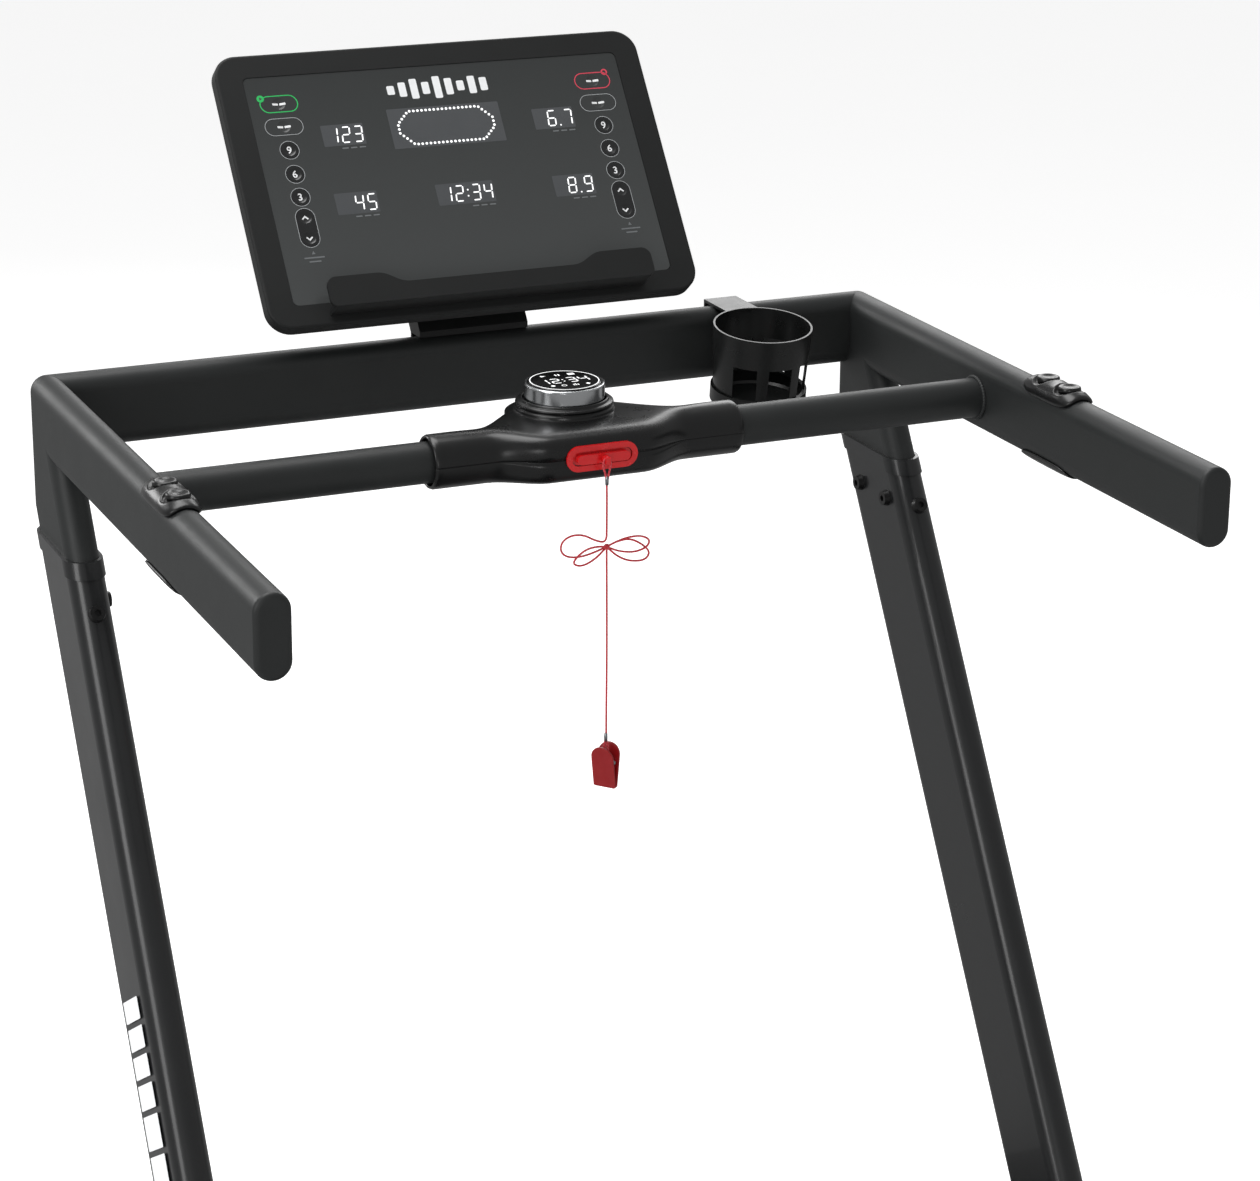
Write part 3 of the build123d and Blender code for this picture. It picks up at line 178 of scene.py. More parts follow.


# Printed polyester overlay, back-painted dark grey: gloss varnish. A painted gradient of light makes it a shade
# lighter towards its lower edge.
def overlayWithPaintedLight(name, lowZ, highZ, look):
    material, tree, place = emptyMaterial(name)
    apart = addNode(tree, "ShaderNodeSeparateXYZ", links={"Vector": place})
    # painted light: the colour is mixed by height, lighter at the panel's lower edge
    height = addNode(tree, "ShaderNodeMapRange", links={"Value": apart.outputs["Z"]},
                     values={"From Min": lowZ, "From Max": highZ, "To Min": 0.0, "To Max": 1.0})
    colour = addNode(tree, "ShaderNodeMix", {"data_type": "RGBA"}, links={0: height.outputs[0]},
                     values={6: hexColour(look["low"]), 7: hexColour(look["high"])})
    dust = addNode(tree, "ShaderNodeTexNoise", links={"Vector": place},
                   values={"Scale": 1 / (look["dust"] * mm), "Detail": 5.0})
    rough = addNode(tree, "ShaderNodeMapRange", links={"Value": dust.outputs["Fac"]},
                    values={"From Min": 0.3, "From Max": 0.7, "To Min": look["rough"][0],
                            "To Max": look["rough"][1]})
    shader = addNode(tree, "ShaderNodeBsdfPrincipled", values={"Specular IOR Level": 0.4},
                     links={"Base Color": colour.outputs[2], "Roughness": rough.outputs[0]})
    addNode(tree, "ShaderNodeOutputMaterial", links={"Surface": shader.outputs[0]})
    return material


# A grained finish that also gives off a little white light.
def glowingFinish(name, look, glow):
    material = grainedFinish(name, look)
    shader = next(n for n in material.node_tree.nodes if n.type == "BSDF_PRINCIPLED")
    shader.inputs["Emission Color"].default_value = hexColour("#ffffff")
    shader.inputs["Emission Strength"].default_value = glow
    return material


# Braided cord: slanting strands, as bands of colour and bump across the cord.
def braidFinish(name, look):
    material, tree, place = emptyMaterial(name)
    wave = addNode(tree, "ShaderNodeTexWave", {"bands_direction": "DIAGONAL"}, links={"Vector": place},
                   values={"Scale": 1 / (look["strand"] * mm) / look["bands"], "Distortion": 1.0})
    colour = addNode(tree, "ShaderNodeMix", {"data_type": "RGBA"}, links={0: wave.outputs["Fac"]},
                     values={6: hexColour(look["dark"]), 7: hexColour(look["light"])})
    bump = addNode(tree, "ShaderNodeBump", links={"Height": wave.outputs["Fac"]},
                   values={"Strength": 1.0, "Distance": look["height"] * mm})
    shader = addNode(tree, "ShaderNodeBsdfPrincipled", values={"Roughness": 0.6, "Sheen Weight": 0.25},
                     links={"Base Color": colour.outputs[2], "Normal": bump.outputs["Normal"]})
    addNode(tree, "ShaderNodeOutputMaterial", links={"Surface": shader.outputs[0]})
    return material


# low is the lighter painted-light colour at the overlay's lower edge, high the colour at its top
overlayLook = dict(low="#474949", high="#353737", dust=22, rough=(0.17, 0.23))
braidLook = dict(strand=0.7, bands=6.3, height=0.12, dark="#b8202c", light="#d23440")
digitGlow = 0.6  # the digits behind the smoked window are just bright enough to read as lit
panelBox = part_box("console_panel")
made["overlayPrintAndPaintedLight"] = overlayWithPaintedLight("overlayPrintAndPaintedLight", panelBox[0].z, panelBox[1].z, overlayLook)
made["litDigits"] = glowingFinish("litDigits", finishes["whiteInk"], digitGlow)
made["braidedCord"] = braidFinish("braidedCord", braidLook)
print("materials made:", len(made))


def makePiece(name, points, faces, finish, body, slot, smooth=False):  # points in metres, row frame
    mesh = bpy.data.meshes.new(name)
    mesh.from_pydata(np.asarray(points, float).tolist(), [], faces)
    mesh.polygons.foreach_set("use_smooth", [smooth] * len(mesh.polygons))
    mesh.materials.append(made[finish])
    piece = bpy.data.objects.new(name, mesh)
    bpy.context.scene.collection.objects.link(piece)
    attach(piece, body)
    return piece


def recalculate(piece):  # faces turned outwards
    work = bmesh.new()
    work.from_mesh(piece.data)
    bmesh.ops.recalc_face_normals(work, faces=work.faces)
    work.to_mesh(piece.data)
    work.free()


def addModifier(piece, kind, **settings):
    modifier = piece.modifiers.new(kind.title(), kind)
    for name, value in settings.items():
        setattr(modifier, name, value)
    return modifier


# A grid of points, rows by columns, as quads; either way round may be closed.
def gridFaces(rows, columns, closeRows=False, closeColumns=True):
    r, c = np.meshgrid(np.arange(rows if closeRows else rows - 1),
                       np.arange(columns if closeColumns else columns - 1), indexing="ij")
    after, beside = (r + 1) % rows, (c + 1) % columns
    quads = np.stack([r * columns + c, r * columns + beside,
                      after * columns + beside, after * columns + c], -1)
    return quads.reshape(-1, 4).tolist()


# A profile of (radius, height) points turned once round an axis through centre, along +Z unless turned.
def turned(profile, centre, turn=Matrix.Identity(3), steps=96, closed=True):
    profile = np.array(profile, float)
    angle = np.linspace(0, 2 * pi, steps, endpoint=False)
    points = np.stack([np.outer(profile[:, 0], np.cos(angle)), np.outer(profile[:, 0], np.sin(angle)),
                       np.repeat(profile[:, 1:], steps, 1)], -1).reshape(-1, 3)
    points = points @ np.array(turn).T + np.array(centre)
    faces = gridFaces(len(profile), steps, closeRows=closed)
    if not closed:  # a small cap on each end
        faces += [list(range(steps))[::-1], list(range(len(points) - steps, len(points)))]
    return points, faces


# Flat outlines, as arrays of points going anticlockwise, in millimetres.
def discOutline(x, y, r, count=40):
    angle = np.linspace(0, 2 * pi, count, endpoint=False)
    return np.column_stack([x + r * np.cos(angle), y + r * np.sin(angle)])


def slotOutline(x, y, wide, high, corner, count=8):  # rectangle with round corners
    quarter = np.linspace(0, pi / 2, count)
    middles = ((wide / 2 - corner, high / 2 - corner, 0), (corner - wide / 2, high / 2 - corner, pi / 2),
               (corner - wide / 2, corner - high / 2, pi), (wide / 2 - corner, corner - high / 2, 1.5 * pi))
    return np.vstack([np.column_stack([x + cx + corner * np.cos(quarter + start),
                                       y + cy + corner * np.sin(quarter + start)])
                      for cx, cy, start in middles])


def strokeOutline(points, width):  # a line drawn with a square pen, its corners mitred
    points = np.array(points, float)
    way = np.diff(points, axis=0)
    way /= np.linalg.norm(way, axis=1)[:, None]
    side = np.column_stack([-way[:, 1], way[:, 0]])
    first, last = side[:1], side[-1:]
    inner = side[:-1] + side[1:]
    inner = inner / (1 + (side[:-1] * side[1:]).sum(1))[:, None] if len(side) > 1 else inner
    offset = np.vstack([first, inner, last]) * width / 2
    return np.vstack([points - offset, (points + offset)[::-1]])


# A plate on an outline, or on the band between an outline and a smaller one with as many points.
def plate(outline, low, high, hole=None):
    count = len(outline)
    ring = np.arange(count)
    after = (ring + 1) % count
    top, bottom = (np.column_stack([outline, np.full(count, z)]) for z in (high, low))
    sides = np.column_stack([ring, ring + count, after + count, after]).tolist()
    if hole is None:
        return np.vstack([top, bottom]), [ring.tolist(), (ring[::-1] + count).tolist()] + sides
    innerTop, innerBottom = (np.column_stack([hole, np.full(count, z)]) for z in (high, low))
    inner = [[a + 2 * count for a in face[::-1]] for face in sides]
    lids = np.column_stack([ring, after, after + 2 * count, ring + 2 * count]).tolist()
    floors = np.column_stack([ring + count, ring + 3 * count, after + 3 * count, after + count]).tolist()
    return np.vstack([top, bottom, innerTop, innerBottom]), sides + inner + lids + floors


def gathered(parts):  # several (points, faces) as one
    points, faces, start = [], [], 0
    for some, theirs in parts:
        points.append(some)
        faces += [[i + start for i in face] for face in theirs]
        start += len(some)
    return np.vstack(points), faces


segmentBars = {"a": (0, 1, 1, 1), "b": (1, 0.5, 1, 1), "c": (1, 0, 1, 0.5), "d": (0, 0, 1, 0),
               "e": (0, 0, 0, 0.5), "f": (0, 0.5, 0, 1), "g": (0, 0.5, 1, 0.5)}
digitBars = {"1": "bc", "2": "abged", "3": "abgcd", "4": "fgbc", "5": "afgcd", "6": "afgedc", "7": "abc",
             "8": "abcdefg", "9": "abfgcd"}


dotRadius = 0.62  # of a figure's dot, in pens
dotPitch = 0.38  # of the usual pitch, what a dot takes up
barGap = 0.35  # in pens, how far a bar stops short of the corner it points at


# Seven-segment figures: each bar is a thin hexagon between two corners of the figure, a little short of both.
def figureOutlines(text, x, y, look):
    high, wide, pitch, pen, slant = (look[name] for name in ("high", "wide", "pitch", "pen", "slant"))
    outlines = []
    for place, letter in enumerate(text):
        left = x + place * pitch
        if letter in ".:":
            heights = (0,) if letter == "." else (0.3, 0.7)
            outlines += [discOutline(left + slant * h * high, y + h * high, pen * dotRadius, 12)
                         for h in heights]
            x -= pitch * (1 - dotPitch)
            continue
        for bar in digitBars[letter]:
            x0, y0, x1, y1 = segmentBars[bar]
            start = np.array((left + x0 * wide + slant * y0 * high, y + y0 * high))
            end = np.array((left + x1 * wide + slant * y1 * high, y + y1 * high))
            way = (end - start) / np.linalg.norm(end - start)
            side = np.array((-way[1], way[0])) * pen / 2
            start, end = start + way * pen * barGap, end - way * pen * barGap
            taper = way * pen / 2
            outlines.append(np.array((start, start + taper - side, end - taper - side, end,
                                      end - taper + side, start + taper + side)))
    return outlines


cameraPlace = dict(at=(-0.9952, -1.8493, 1.7965), yaw=24.0, down=17.42, roll=0.43, lens=98.7,
                   shiftX=-0.0048, shiftY=-0.0782)


def makeCamera(look):
    camera = bpy.data.objects.new("camera", bpy.data.cameras.new("camera"))
    bpy.context.scene.collection.objects.link(camera)
    turn = (Matrix.Rotation(radians(-look["yaw"]), 3, "Z")
            @ Matrix.Rotation(radians(90 - look["down"]), 3, "X")
            @ Matrix.Rotation(radians(look["roll"]), 3, "Z"))
    camera.matrix_world = Matrix.Translation(look["at"]) @ turn.to_4x4()
    camera.data.lens = look["lens"]
    camera.data.sensor_width = 36
    camera.data.shift_x, camera.data.shift_y = look["shiftX"], look["shiftY"]
    bpy.context.scene.camera = camera


def addSoftbox(name, at, target, size, power):
    lamp = bpy.data.objects.new(name, bpy.data.lights.new(name, "AREA"))
    lamp.data.shape = "RECTANGLE"
    lamp.data.size, lamp.data.size_y = size
    lamp.data.energy = power
    lamp.location = at
    lamp.rotation_euler = (Vector(target) - Vector(at)).to_track_quat("-Z", "Y").to_euler()
    bpy.context.scene.collection.objects.link(lamp)


softboxes = {
    "softboxAbove": dict(at=(-0.5, 1.2, 3.5), target=(0, 0.5, 1.0), size=(2.4, 1.6), power=60),
    "softboxLeft": dict(at=(-3.2, -0.6, 2.2), target=(0, 0.5, 1.0), size=(1.2, 2.4), power=35),
    "softboxBehind": dict(at=(1.8, 3.4, 2.6), target=(0, 0.5, 0.9), size=(2.4, 1.6), power=40),
    "softboxBackLeft": dict(at=(-1.75, 3.5, 2.1), target=(-0.3, 0.4, 1.0), size=(1.1, 1.3), power=26),
    "softboxFront": dict(at=(-2.0, -3.6, 1.5), target=(0, 0.5, 1.0), size=(1.2, 1.0), power=14),
}
makeCamera(cameraPlace)
for name, look in softboxes.items():
    addSoftbox(name, **look)

studioLook = dict(floorReach=400, floorGlow=0.6, worldStrength=0.34)
floorFinish = dict(dark="#f4f4f4", light="#f8f8f8", grain=3.0, height=0.01, mottle=900, rough=(0.7, 0.8))
floorMesh = bpy.data.meshes.new("floor")
floorMesh.from_pydata([(x * studioLook["floorReach"], y * studioLook["floorReach"], 0)
                       for x, y in ((-1, -1), (1, -1), (1, 1), (-1, 1))], [], [(0, 1, 2, 3)])
floor = bpy.data.objects.new("floor", floorMesh)
bpy.context.scene.collection.objects.link(floor)
made["paleFloor"] = glowingFinish("paleFloor", floorFinish, studioLook["floorGlow"])
floorMesh.materials.append(made["paleFloor"])
floor.visible_glossy = False  # gloss mirrors only the soft grey studio, so the paint keeps its black
world = bpy.data.worlds.new("studio")
world.use_nodes = True
world.node_tree.nodes["Background"].inputs["Color"].default_value = (1, 1, 1, 1)
world.node_tree.nodes["Background"].inputs["Strength"].default_value = studioLook["worldStrength"]
bpy.context.scene.world = world
bpy.context.scene.view_settings.view_transform = "Standard"
print("camera, floor and light ready")


crossbarY, crossbarZ = 487.16 * mm, 1038.2 * mm
bowLow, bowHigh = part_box("cord_bow")
cordY = bowLow.y + 4.5 * mm  # the cord's line is the middle of the bow, which is 9 mm deep
bowZ = (bowLow.z + bowHigh.z) / 2
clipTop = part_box("clip_back")[1].z
cordLook = dict(thick=1.6, length=0.6, upperCrimp=1022.0, lowerCrimp=814.0)

# Route of the cord in millimetres, (x, y from the cord's line, z): up round the eyelet, down to the knot,
# four loops of the bow, down to the clip and back into the lower crimp.
bowLoops = (
    ((-9, 1, 5.5), (-18, 2, 11), (-28, 2.5, 11.8), (-36, 2, 8), (-38, 1, 1), (-33, 1, -4.6), (-22, 1, -6.2),
     (-10, 0.5, -3.6)),
    ((9, -1, 3.9), (18, -2, 6.2), (28, -2, 6), (36, -1, 1.4), (33, -1, -4.6), (22, -1, -7.2), (9, -0.5, -4.6)),
    ((-9, -1.5, 1.6), (-18, -2.5, 0.8), (-26, -2.5, -4.5), (-29, -2, -10), (-21, -2, -12.8), (-9, -1, -8)),
    ((9, 1.5, 2.6), (20, 2.5, 3.4), (30, 2.5, -2), (37.5, 2, -9.5), (33, 2, -15.8), (20, 1.5, -14.8),
     (9, 1, -9.2)),
)


def cordRoute():
    knot = bowZ / mm
    route = [(0.3, 0, cordLook["upperCrimp"] - 2), (1.2, 0, 1027), (3.4, 0, 1034), (2.2, 0, 1039.4),
             (0, 0, 1040.4), (-2.2, 0, 1039.4), (-3.4, 0, 1034), (-1.2, 0, 1027), (-0.3, 0, 1022),
             (0, 0, 1012), (0, 0, 985), (0, 0.4, knot + 3)]
    for loop in bowLoops:
        route += [(x, y, knot + z) for x, y, z in loop]
        route.append((0, 0, knot))
    route += [(0, 0, knot - 6), (0.3, 0, 930), (0.6, 0, 880), (0.3, 0, 830), (0.3, 0, 814), (1.6, 0, 806),
              (2.4, 0, 797), (0, 0, 794.6), (-2.2, 0, 797), (-1.6, 0, 806), (-0.3, 0, 813)]
    return np.array(route) * mm + np.array((0, cordY, 0))


def makeCord():
    route = cordRoute()
    curve = bpy.data.curves.new("safetyCord", "CURVE")
    curve.dimensions = "3D"
    curve.bevel_depth = cordLook["thick"] / 2 * mm
    curve.bevel_resolution = 3
    curve.use_fill_caps = True
    spline = curve.splines.new("NURBS")
    spline.points.add(len(route) - 1)
    spline.points.foreach_set("co", np.column_stack([route, np.ones(len(route))]).ravel())
    spline.order_u = 3
    spline.use_endpoint_u = True
    spline.resolution_u = 6
    curve.materials.append(made["braidedCord"])
    cord = bpy.data.objects.new("safetyCord", curve)
    bpy.context.scene.collection.objects.link(cord)
    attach(cord, "safety_key")
    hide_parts("key_cord", "cord_bow")
    return cord, route


# The ferrules, as (radius, height), and the knot's two wraps, as (turn, lean) in degrees.
crimpProfile = ((0.9, -3.6), (1.35, -3.2), (1.45, 0), (1.35, 3.2), (0.9, 3.6), (0.5, 3.6), (0.5, -3.6))
knotLook = dict(wraps=((0, 35), (60, -30)), ring=1.5, tube=0.8)
safetyCord, cordPoints = makeCord()
for crimpName, crimpZ in (("upperFerrule", cordLook["upperCrimp"]), ("lowerFerrule", cordLook["lowerCrimp"])):
    shell = turned(np.array(crimpProfile) * mm, (0, cordY, crimpZ * mm), steps=24)
    makePiece(crimpName, *shell, "zincPlate", "safety_key", "steel", smooth=True)
knotBall = []
for turn, lean in knotLook["wraps"]:  # small tori of cord round the middle of the bow
    around = np.linspace(0, 2 * pi, 24, endpoint=False)
    tube = np.linspace(0, 2 * pi, 10, endpoint=False)
    ring = knotLook["ring"] + knotLook["tube"] * np.cos(tube)
    wrap = np.stack([np.outer(np.cos(around), ring), np.outer(np.sin(around), ring),
                     np.tile(knotLook["tube"] * np.sin(tube), (24, 1))], -1).reshape(-1, 3)
    tilt = np.array(Matrix.Rotation(radians(lean), 3, "Y") @ Matrix.Rotation(radians(turn), 3, "X"))
    knotBall.append(((wrap @ tilt.T) * mm + np.array((0, cordY, bowZ)), gridFaces(24, 10, closeRows=True)))
cordKnot = makePiece("cordKnot", *gathered(knotBall), "braidedCord", "safety_key", "red_cord", smooth=True)

clipLook = dict(turn=40.0, wide=19.0, long=35.0, thick=1.7, jawGap=0.4, topGap=6.4, cornerCut=1.0,
                bevel=0.5)
clipSpin = np.array(Matrix.Rotation(radians(clipLook["turn"]), 3, "Z"))
springLook = dict(radius=2.2, wire=0.45, turns=5, half=6.0, drop=14.0,
                  pin=((0.01, -8.6), (1.3, -8.3), (1.6, -7.8), (1.6, 7.8), (1.3, 8.3), (0.01, 8.6)))


# One jaw plate: a straight-sided outline with a half-round top, leaning from the shut jaws to the open top.
def clipPlate(name, side, body, replaced):
    half, long, cut = clipLook["wide"] / 2, clipLook["long"], clipLook["cornerCut"]
    arc = np.linspace(0, pi, 24)
    outline = np.vstack([[(-half + cut, -long), (half - cut, -long), (half, -long + cut)],
                         np.column_stack([half * np.cos(arc), -half + half * np.sin(arc)]),
                         [(-half, -long + cut)]])
    points, faces = plate(outline, 0, clipLook["thick"])
    along = (points[:, 1] + long) / long
    away = clipLook["jawGap"] + along * (clipLook["topGap"] - clipLook["jawGap"]) + points[:, 2]
    local = np.column_stack([side * away, points[:, 0], points[:, 1]])
    points = (local @ clipSpin.T) * mm + np.array((0, cordY, clipTop))
    piece = makePiece(name, points, faces, "redClipPlastic", body, "red_plastic")
    recalculate(piece)
    addModifier(piece, "BEVEL", width=clipLook["bevel"] * mm, segments=3)
    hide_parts(replaced)
    return piece


clipBackPlate = clipPlate("clipBackPlate", 1, "safety_key", "clip_back")
clipFrontPlate = clipPlate("clipFrontPlate", -1, "clip", "clip_front")


# The clip's spring: a wire carried along a helix, and the pin inside it with two domed ends.
def clipSpring():
    look, steps = springLook, 120
    t = np.linspace(0, 1, steps)
    wind = 2 * pi * look["turns"] * t
    out = np.column_stack([np.cos(wind), np.zeros(steps), np.sin(wind)])
    centre = look["radius"] * out
    centre[:, 1] = look["half"] * (2 * t - 1)
    way = np.gradient(centre, axis=0)
    way /= np.linalg.norm(way, axis=1)[:, None]
    third = np.cross(way, out)
    angle = np.linspace(0, 2 * pi, 8, endpoint=False)[:, None]
    wire = centre[:, None] + look["wire"] * (np.cos(angle) * out[:, None] + np.sin(angle) * third[:, None])
    pin = turned(look["pin"], (0, 0, 0), Matrix.Rotation(pi / 2, 3, "X"), steps=16, closed=False)
    points, faces = gathered(((wire.reshape(-1, 3), gridFaces(steps, 8)), pin))
    points = (points @ clipSpin.T) * mm + np.array((0, cordY, clipTop - look["drop"] * mm))
    return makePiece("clipSpring", points, faces, "zincPlate", "safety_key", "steel", smooth=True)


spring = clipSpring()
print("safety cord and clip made")


# The housing in millimetres: its reach along the bar, the sleeve's radius, the middle's reach to the front,
# the back, up and down, and the stations along the bar between which each of them eases into the sleeve.
housingLook = dict(reach=126.0, sleeve=18.6, near=34.5, far=77.5, top=16.6, bottom=18.6, seam=0.03, wall=2.4,
                   nearEnds=(38, 80), farEnds=(10, 94), bodyEnds=(38, 84), farPower=1.15, squareness=2.6,
                   dipAt=84, dipWide=12, dipDeep=0.36)


def eased(t):  # 0 to 1 with level ends
    t = np.clip(t, 0, 1)
    return t * t * (3 - 2 * t)


def fading(x, ends):  # 1 up to the first station, easing to 0 at the second
    return eased((ends[1] - x) / (ends[1] - ends[0]))


# Cross-sections at stations along the bar. Each is a superellipse with its own reach to the front, the back,
# up and down; the reaches and the exponent ease from the round sleeve to the broad middle.
def housingHalf(name, start, end, replaced):
    look = housingLook
    half = np.concatenate([np.linspace(0, 100, 51), np.linspace(102, look["reach"] - 1.2, 8),
                           [look["reach"] - 0.4, look["reach"]]])
    x = np.concatenate([-half[:0:-1], half])
    ax = np.abs(x)
    front, body = fading(ax, look["nearEnds"]), fading(ax, look["bodyEnds"])
    back = fading(ax, look["farEnds"]) ** look["farPower"]
    edge = np.where(ax > look["reach"] - 0.2, 0.9, np.where(ax > look["reach"] - 1, 0.3, 0.0))
    dip = look["dipDeep"] * np.exp(-((ax - look["dipAt"]) / look["dipWide"]) ** 2)
    shares = (("near", front), ("far", back), ("top", body), ("bottom", body))
    near, far, top, low = (look["sleeve"] + (look[way] - look["sleeve"]) * share - edge
                           for way, share in shares)
    top = top - dip
    power = 2 + look["squareness"] * body
    angle = np.linspace(start, end, 61)
    c, s = np.cos(angle), np.sin(angle)
    across = np.sign(c) * np.abs(c) ** (2 / power[:, None])
    upward = np.sign(s) * np.abs(s) ** (2 / power[:, None])
    y = np.where(across < 0, across * near[:, None], across * far[:, None])
    z = np.where(upward > 0, upward * top[:, None], upward * low[:, None])
    side = 1 if end <= pi + 0.01 else -1
    z = z + side * look["seam"]
    points = np.stack([np.broadcast_to(x[:, None], y.shape), y, z], -1).reshape(-1, 3) * mm
    points += np.array((0, crossbarY, crossbarZ))
    piece = makePiece(name, points, gridFaces(len(x), 61, closeColumns=False), "satinAbs", "base",
                      "satin_black", smooth=True)
    piece.data.flip_normals()
    addModifier(piece, "SOLIDIFY", thickness=look["wall"] * mm, offset=-1)
    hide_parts(replaced)
    return piece


housingHalf("housingUpper", 0, pi, "knob_housing_upper")
housingHalf("housingLower", pi, 2 * pi, "knob_housing_lower")

ringLow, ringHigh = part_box("knob_ring")
knobY = (ringLow.y + ringHigh.y) / 2
flangeTop = 1066.9
# Stepped flange under the knob, as radius and drop from its top: a narrow rim, then two rounded ridges with
# grooves between them, then a flare that meets the housing.
flangeSteps = ((32.4, 14.5), (46.5, 13.6), (46.5, 12.4), (43.2, 11.6), (40.6, 10.7), (39.2, 9.6), (38.7, 8.4),
               (38.8, 7.4), (38.4, 6.6), (37.2, 6.2), (37.0, 5.4), (37.9, 4.8), (38.3, 3.9), (38.0, 3.0),
               (37.2, 2.4), (35.4, 2.1), (34.7, 1.8), (34.5, 0.7), (34.1, 0.15), (33.4, 0.0), (32.8, 0.1),
               (32.5, 0.6))
flangeProfile = np.array([(r, flangeTop - drop) for r, drop in flangeSteps]) * mm
makePiece("knobFlange", *turned(flangeProfile, (0, knobY, 0), steps=120), "satinAbs", "base", "satin_black",
          smooth=True)

# Heads of the two screws that close the housing from below, as (radius, height) at their drop under the bar.
screwLook = dict(at=(-77, 79), drop=18.4,
                 dome=((0.01, -3.4), (2.2, -3.3), (4.2, -2.6), (5.6, -1.2), (6.0, 0.6), (6.0, 3.0)))
screwZ = crossbarZ - screwLook["drop"] * mm
screwDomes = [turned(np.array(screwLook["dome"]) * mm, (x * mm, crossbarY, screwZ), steps=28, closed=False)
              for x in screwLook["at"]]
screwPiece = makePiece("housingScrews", *gathered(screwDomes), "satinAbs", "base", "satin_black", smooth=True)
recalculate(screwPiece)
print("knob housing made")


def printed(name, outlines, low, high, finish, body, slot, place, holes=None):
    holes = holes or [None] * len(outlines)
    points, faces = gathered([plate(o, low, high, h) for o, h in zip(outlines, holes)])
    return makePiece(name, place(points), faces, finish, body, slot)


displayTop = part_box("knob_display")[1].z
ink = 0.08  # thickness of a layer of print
knobText = dict(text="12:34", x=-20.4, y=-6.2, high=11.9, wide=6.4, pitch=9.8, pen=1.2, slant=0.0)
ringLines = ((0, 0, 27.2, 26.4, 96), (-5.7, -13.9, 2.2, 1.7, 32))  # x, y, radii and steps


def onKnob(points):
    return points * mm + np.array((0, knobY, displayTop))


knobFigures = figureOutlines(knobText["text"], knobText["x"], knobText["y"], knobText)
# Small signs round the time: a play arrow, a pause sign and a square, and a dot, three bars and a diamond.
knobSigns = [np.array([(-13.4, 14.0), (-9.4, 15.9), (-13.4, 17.8)]),
             slotOutline(-1.1, 15.4, 1.2, 4.0, 0.2, 3), slotOutline(1.5, 15.4, 1.2, 4.0, 0.2, 3),
             slotOutline(11.6, 14.9, 5.4, 4.6, 0.4, 3),
             discOutline(-14.4, -12.4, 1.7, 20), slotOutline(2.0, -14.7, 0.8, 3.4, 0.2, 3),
             slotOutline(3.8, -14.1, 0.8, 4.6, 0.2, 3), slotOutline(5.6, -14.9, 0.8, 3.0, 0.2, 3),
             np.array([(13.8, -17.0), (15.7, -14.9), (13.8, -12.8), (11.9, -14.9)])]
printed("knobDigits", knobFigures + knobSigns, 0, ink, "litDigits", "display", "gloss_black", onKnob)
printed("knobRingLine", [discOutline(x, y, outer, steps) for x, y, outer, _, steps in ringLines], 0, ink,
        "litDigits", "display", "gloss_black", onKnob,
        [discOutline(x, y, inner, steps) for x, y, _, inner, steps in ringLines])


consoleTilt = radians(37.1)
upSlope = np.array((0, sin(consoleTilt), cos(consoleTilt)))
outward = np.array((0, -cos(consoleTilt), sin(consoleTilt)))
panelMiddle = np.array((panelBox[0] + panelBox[1]) / 2)
overlayThick, overlayRise = 1.8, 120.25  # its middle is this far up from the console's lower edge
consoleFace = panelMiddle + outward * overlayThick / 2 * mm - upSlope * overlayRise * mm


def onPanel(points):  # (right, up the slope, out of the face) in millimetres
    return points * mm @ np.array(((1, 0, 0), upSlope, outward)) + consoleFace


def keyMiddle(node):
    low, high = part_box(node)
    away = np.array((low + high) / 2) - consoleFace
    return away[0] / mm, away @ upSlope / mm


keyDish = dict(radius=14.0, deep=1.0)


# A sign inside a key's dish: its points drop by the dish's sphere under them.
def inDish(spot):
    def place(points):
        flat = (points[:, 0] - spot[0]) ** 2 + (points[:, 1] - spot[1]) ** 2
        r = keyDish["radius"]
        drop = r - keyDish["deep"] - np.sqrt(np.maximum(r * r - flat, 1))
        return onPanel(np.column_stack([points[:, :2], points[:, 2] + np.minimum(drop, 0)]))
    return place


# Display windows, as text, middle across, middle up and width; their figures are ranged right.
windows = (("123", -90, 164.5, 36), ("6.7", 95, 164.8, 36), ("45", -92, 103.6, 36), ("8.9", 98, 102.8, 36),
           ("12:34", 2, 104.0, 50))
windowLook = dict(high=19.0, corner=0.8, film=0.05, margin=2.6)
figureLook = dict(high=13.6, wide=6.4, pitch=10.6, pen=1.15, slant=0.1, rise=0.03)
trackLook = dict(middle=(0, 166), window=(98, 36), wide=83, high=30, cut=0.36, dots=56, radius=1.12)
windowSizes = [(x, y, wide, windowLook["high"]) for _, x, y, wide in windows]
windowSizes.append((*trackLook["middle"], *trackLook["window"]))
windowOutlines = [slotOutline(*size, windowLook["corner"], 3) for size in windowSizes]
printed("displayWindows", windowOutlines, 0, windowLook["film"], "smokedWindow", "base", "glass_panel", onPanel)

figures = []
for text, x, y, wide in windows:
    dots = sum(letter in ".:" for letter in text)
    span = (len(text) - dots - 1 + dots * dotPitch) * figureLook["pitch"] + figureLook["wide"]
    figures += figureOutlines(text, x + wide / 2 - span - windowLook["margin"], y - figureLook["high"] / 2,
                              figureLook)
printed("displayFigures", figures, figureLook["rise"], figureLook["rise"] + ink, "litDigits", "base",
        "glass_panel", onPanel)


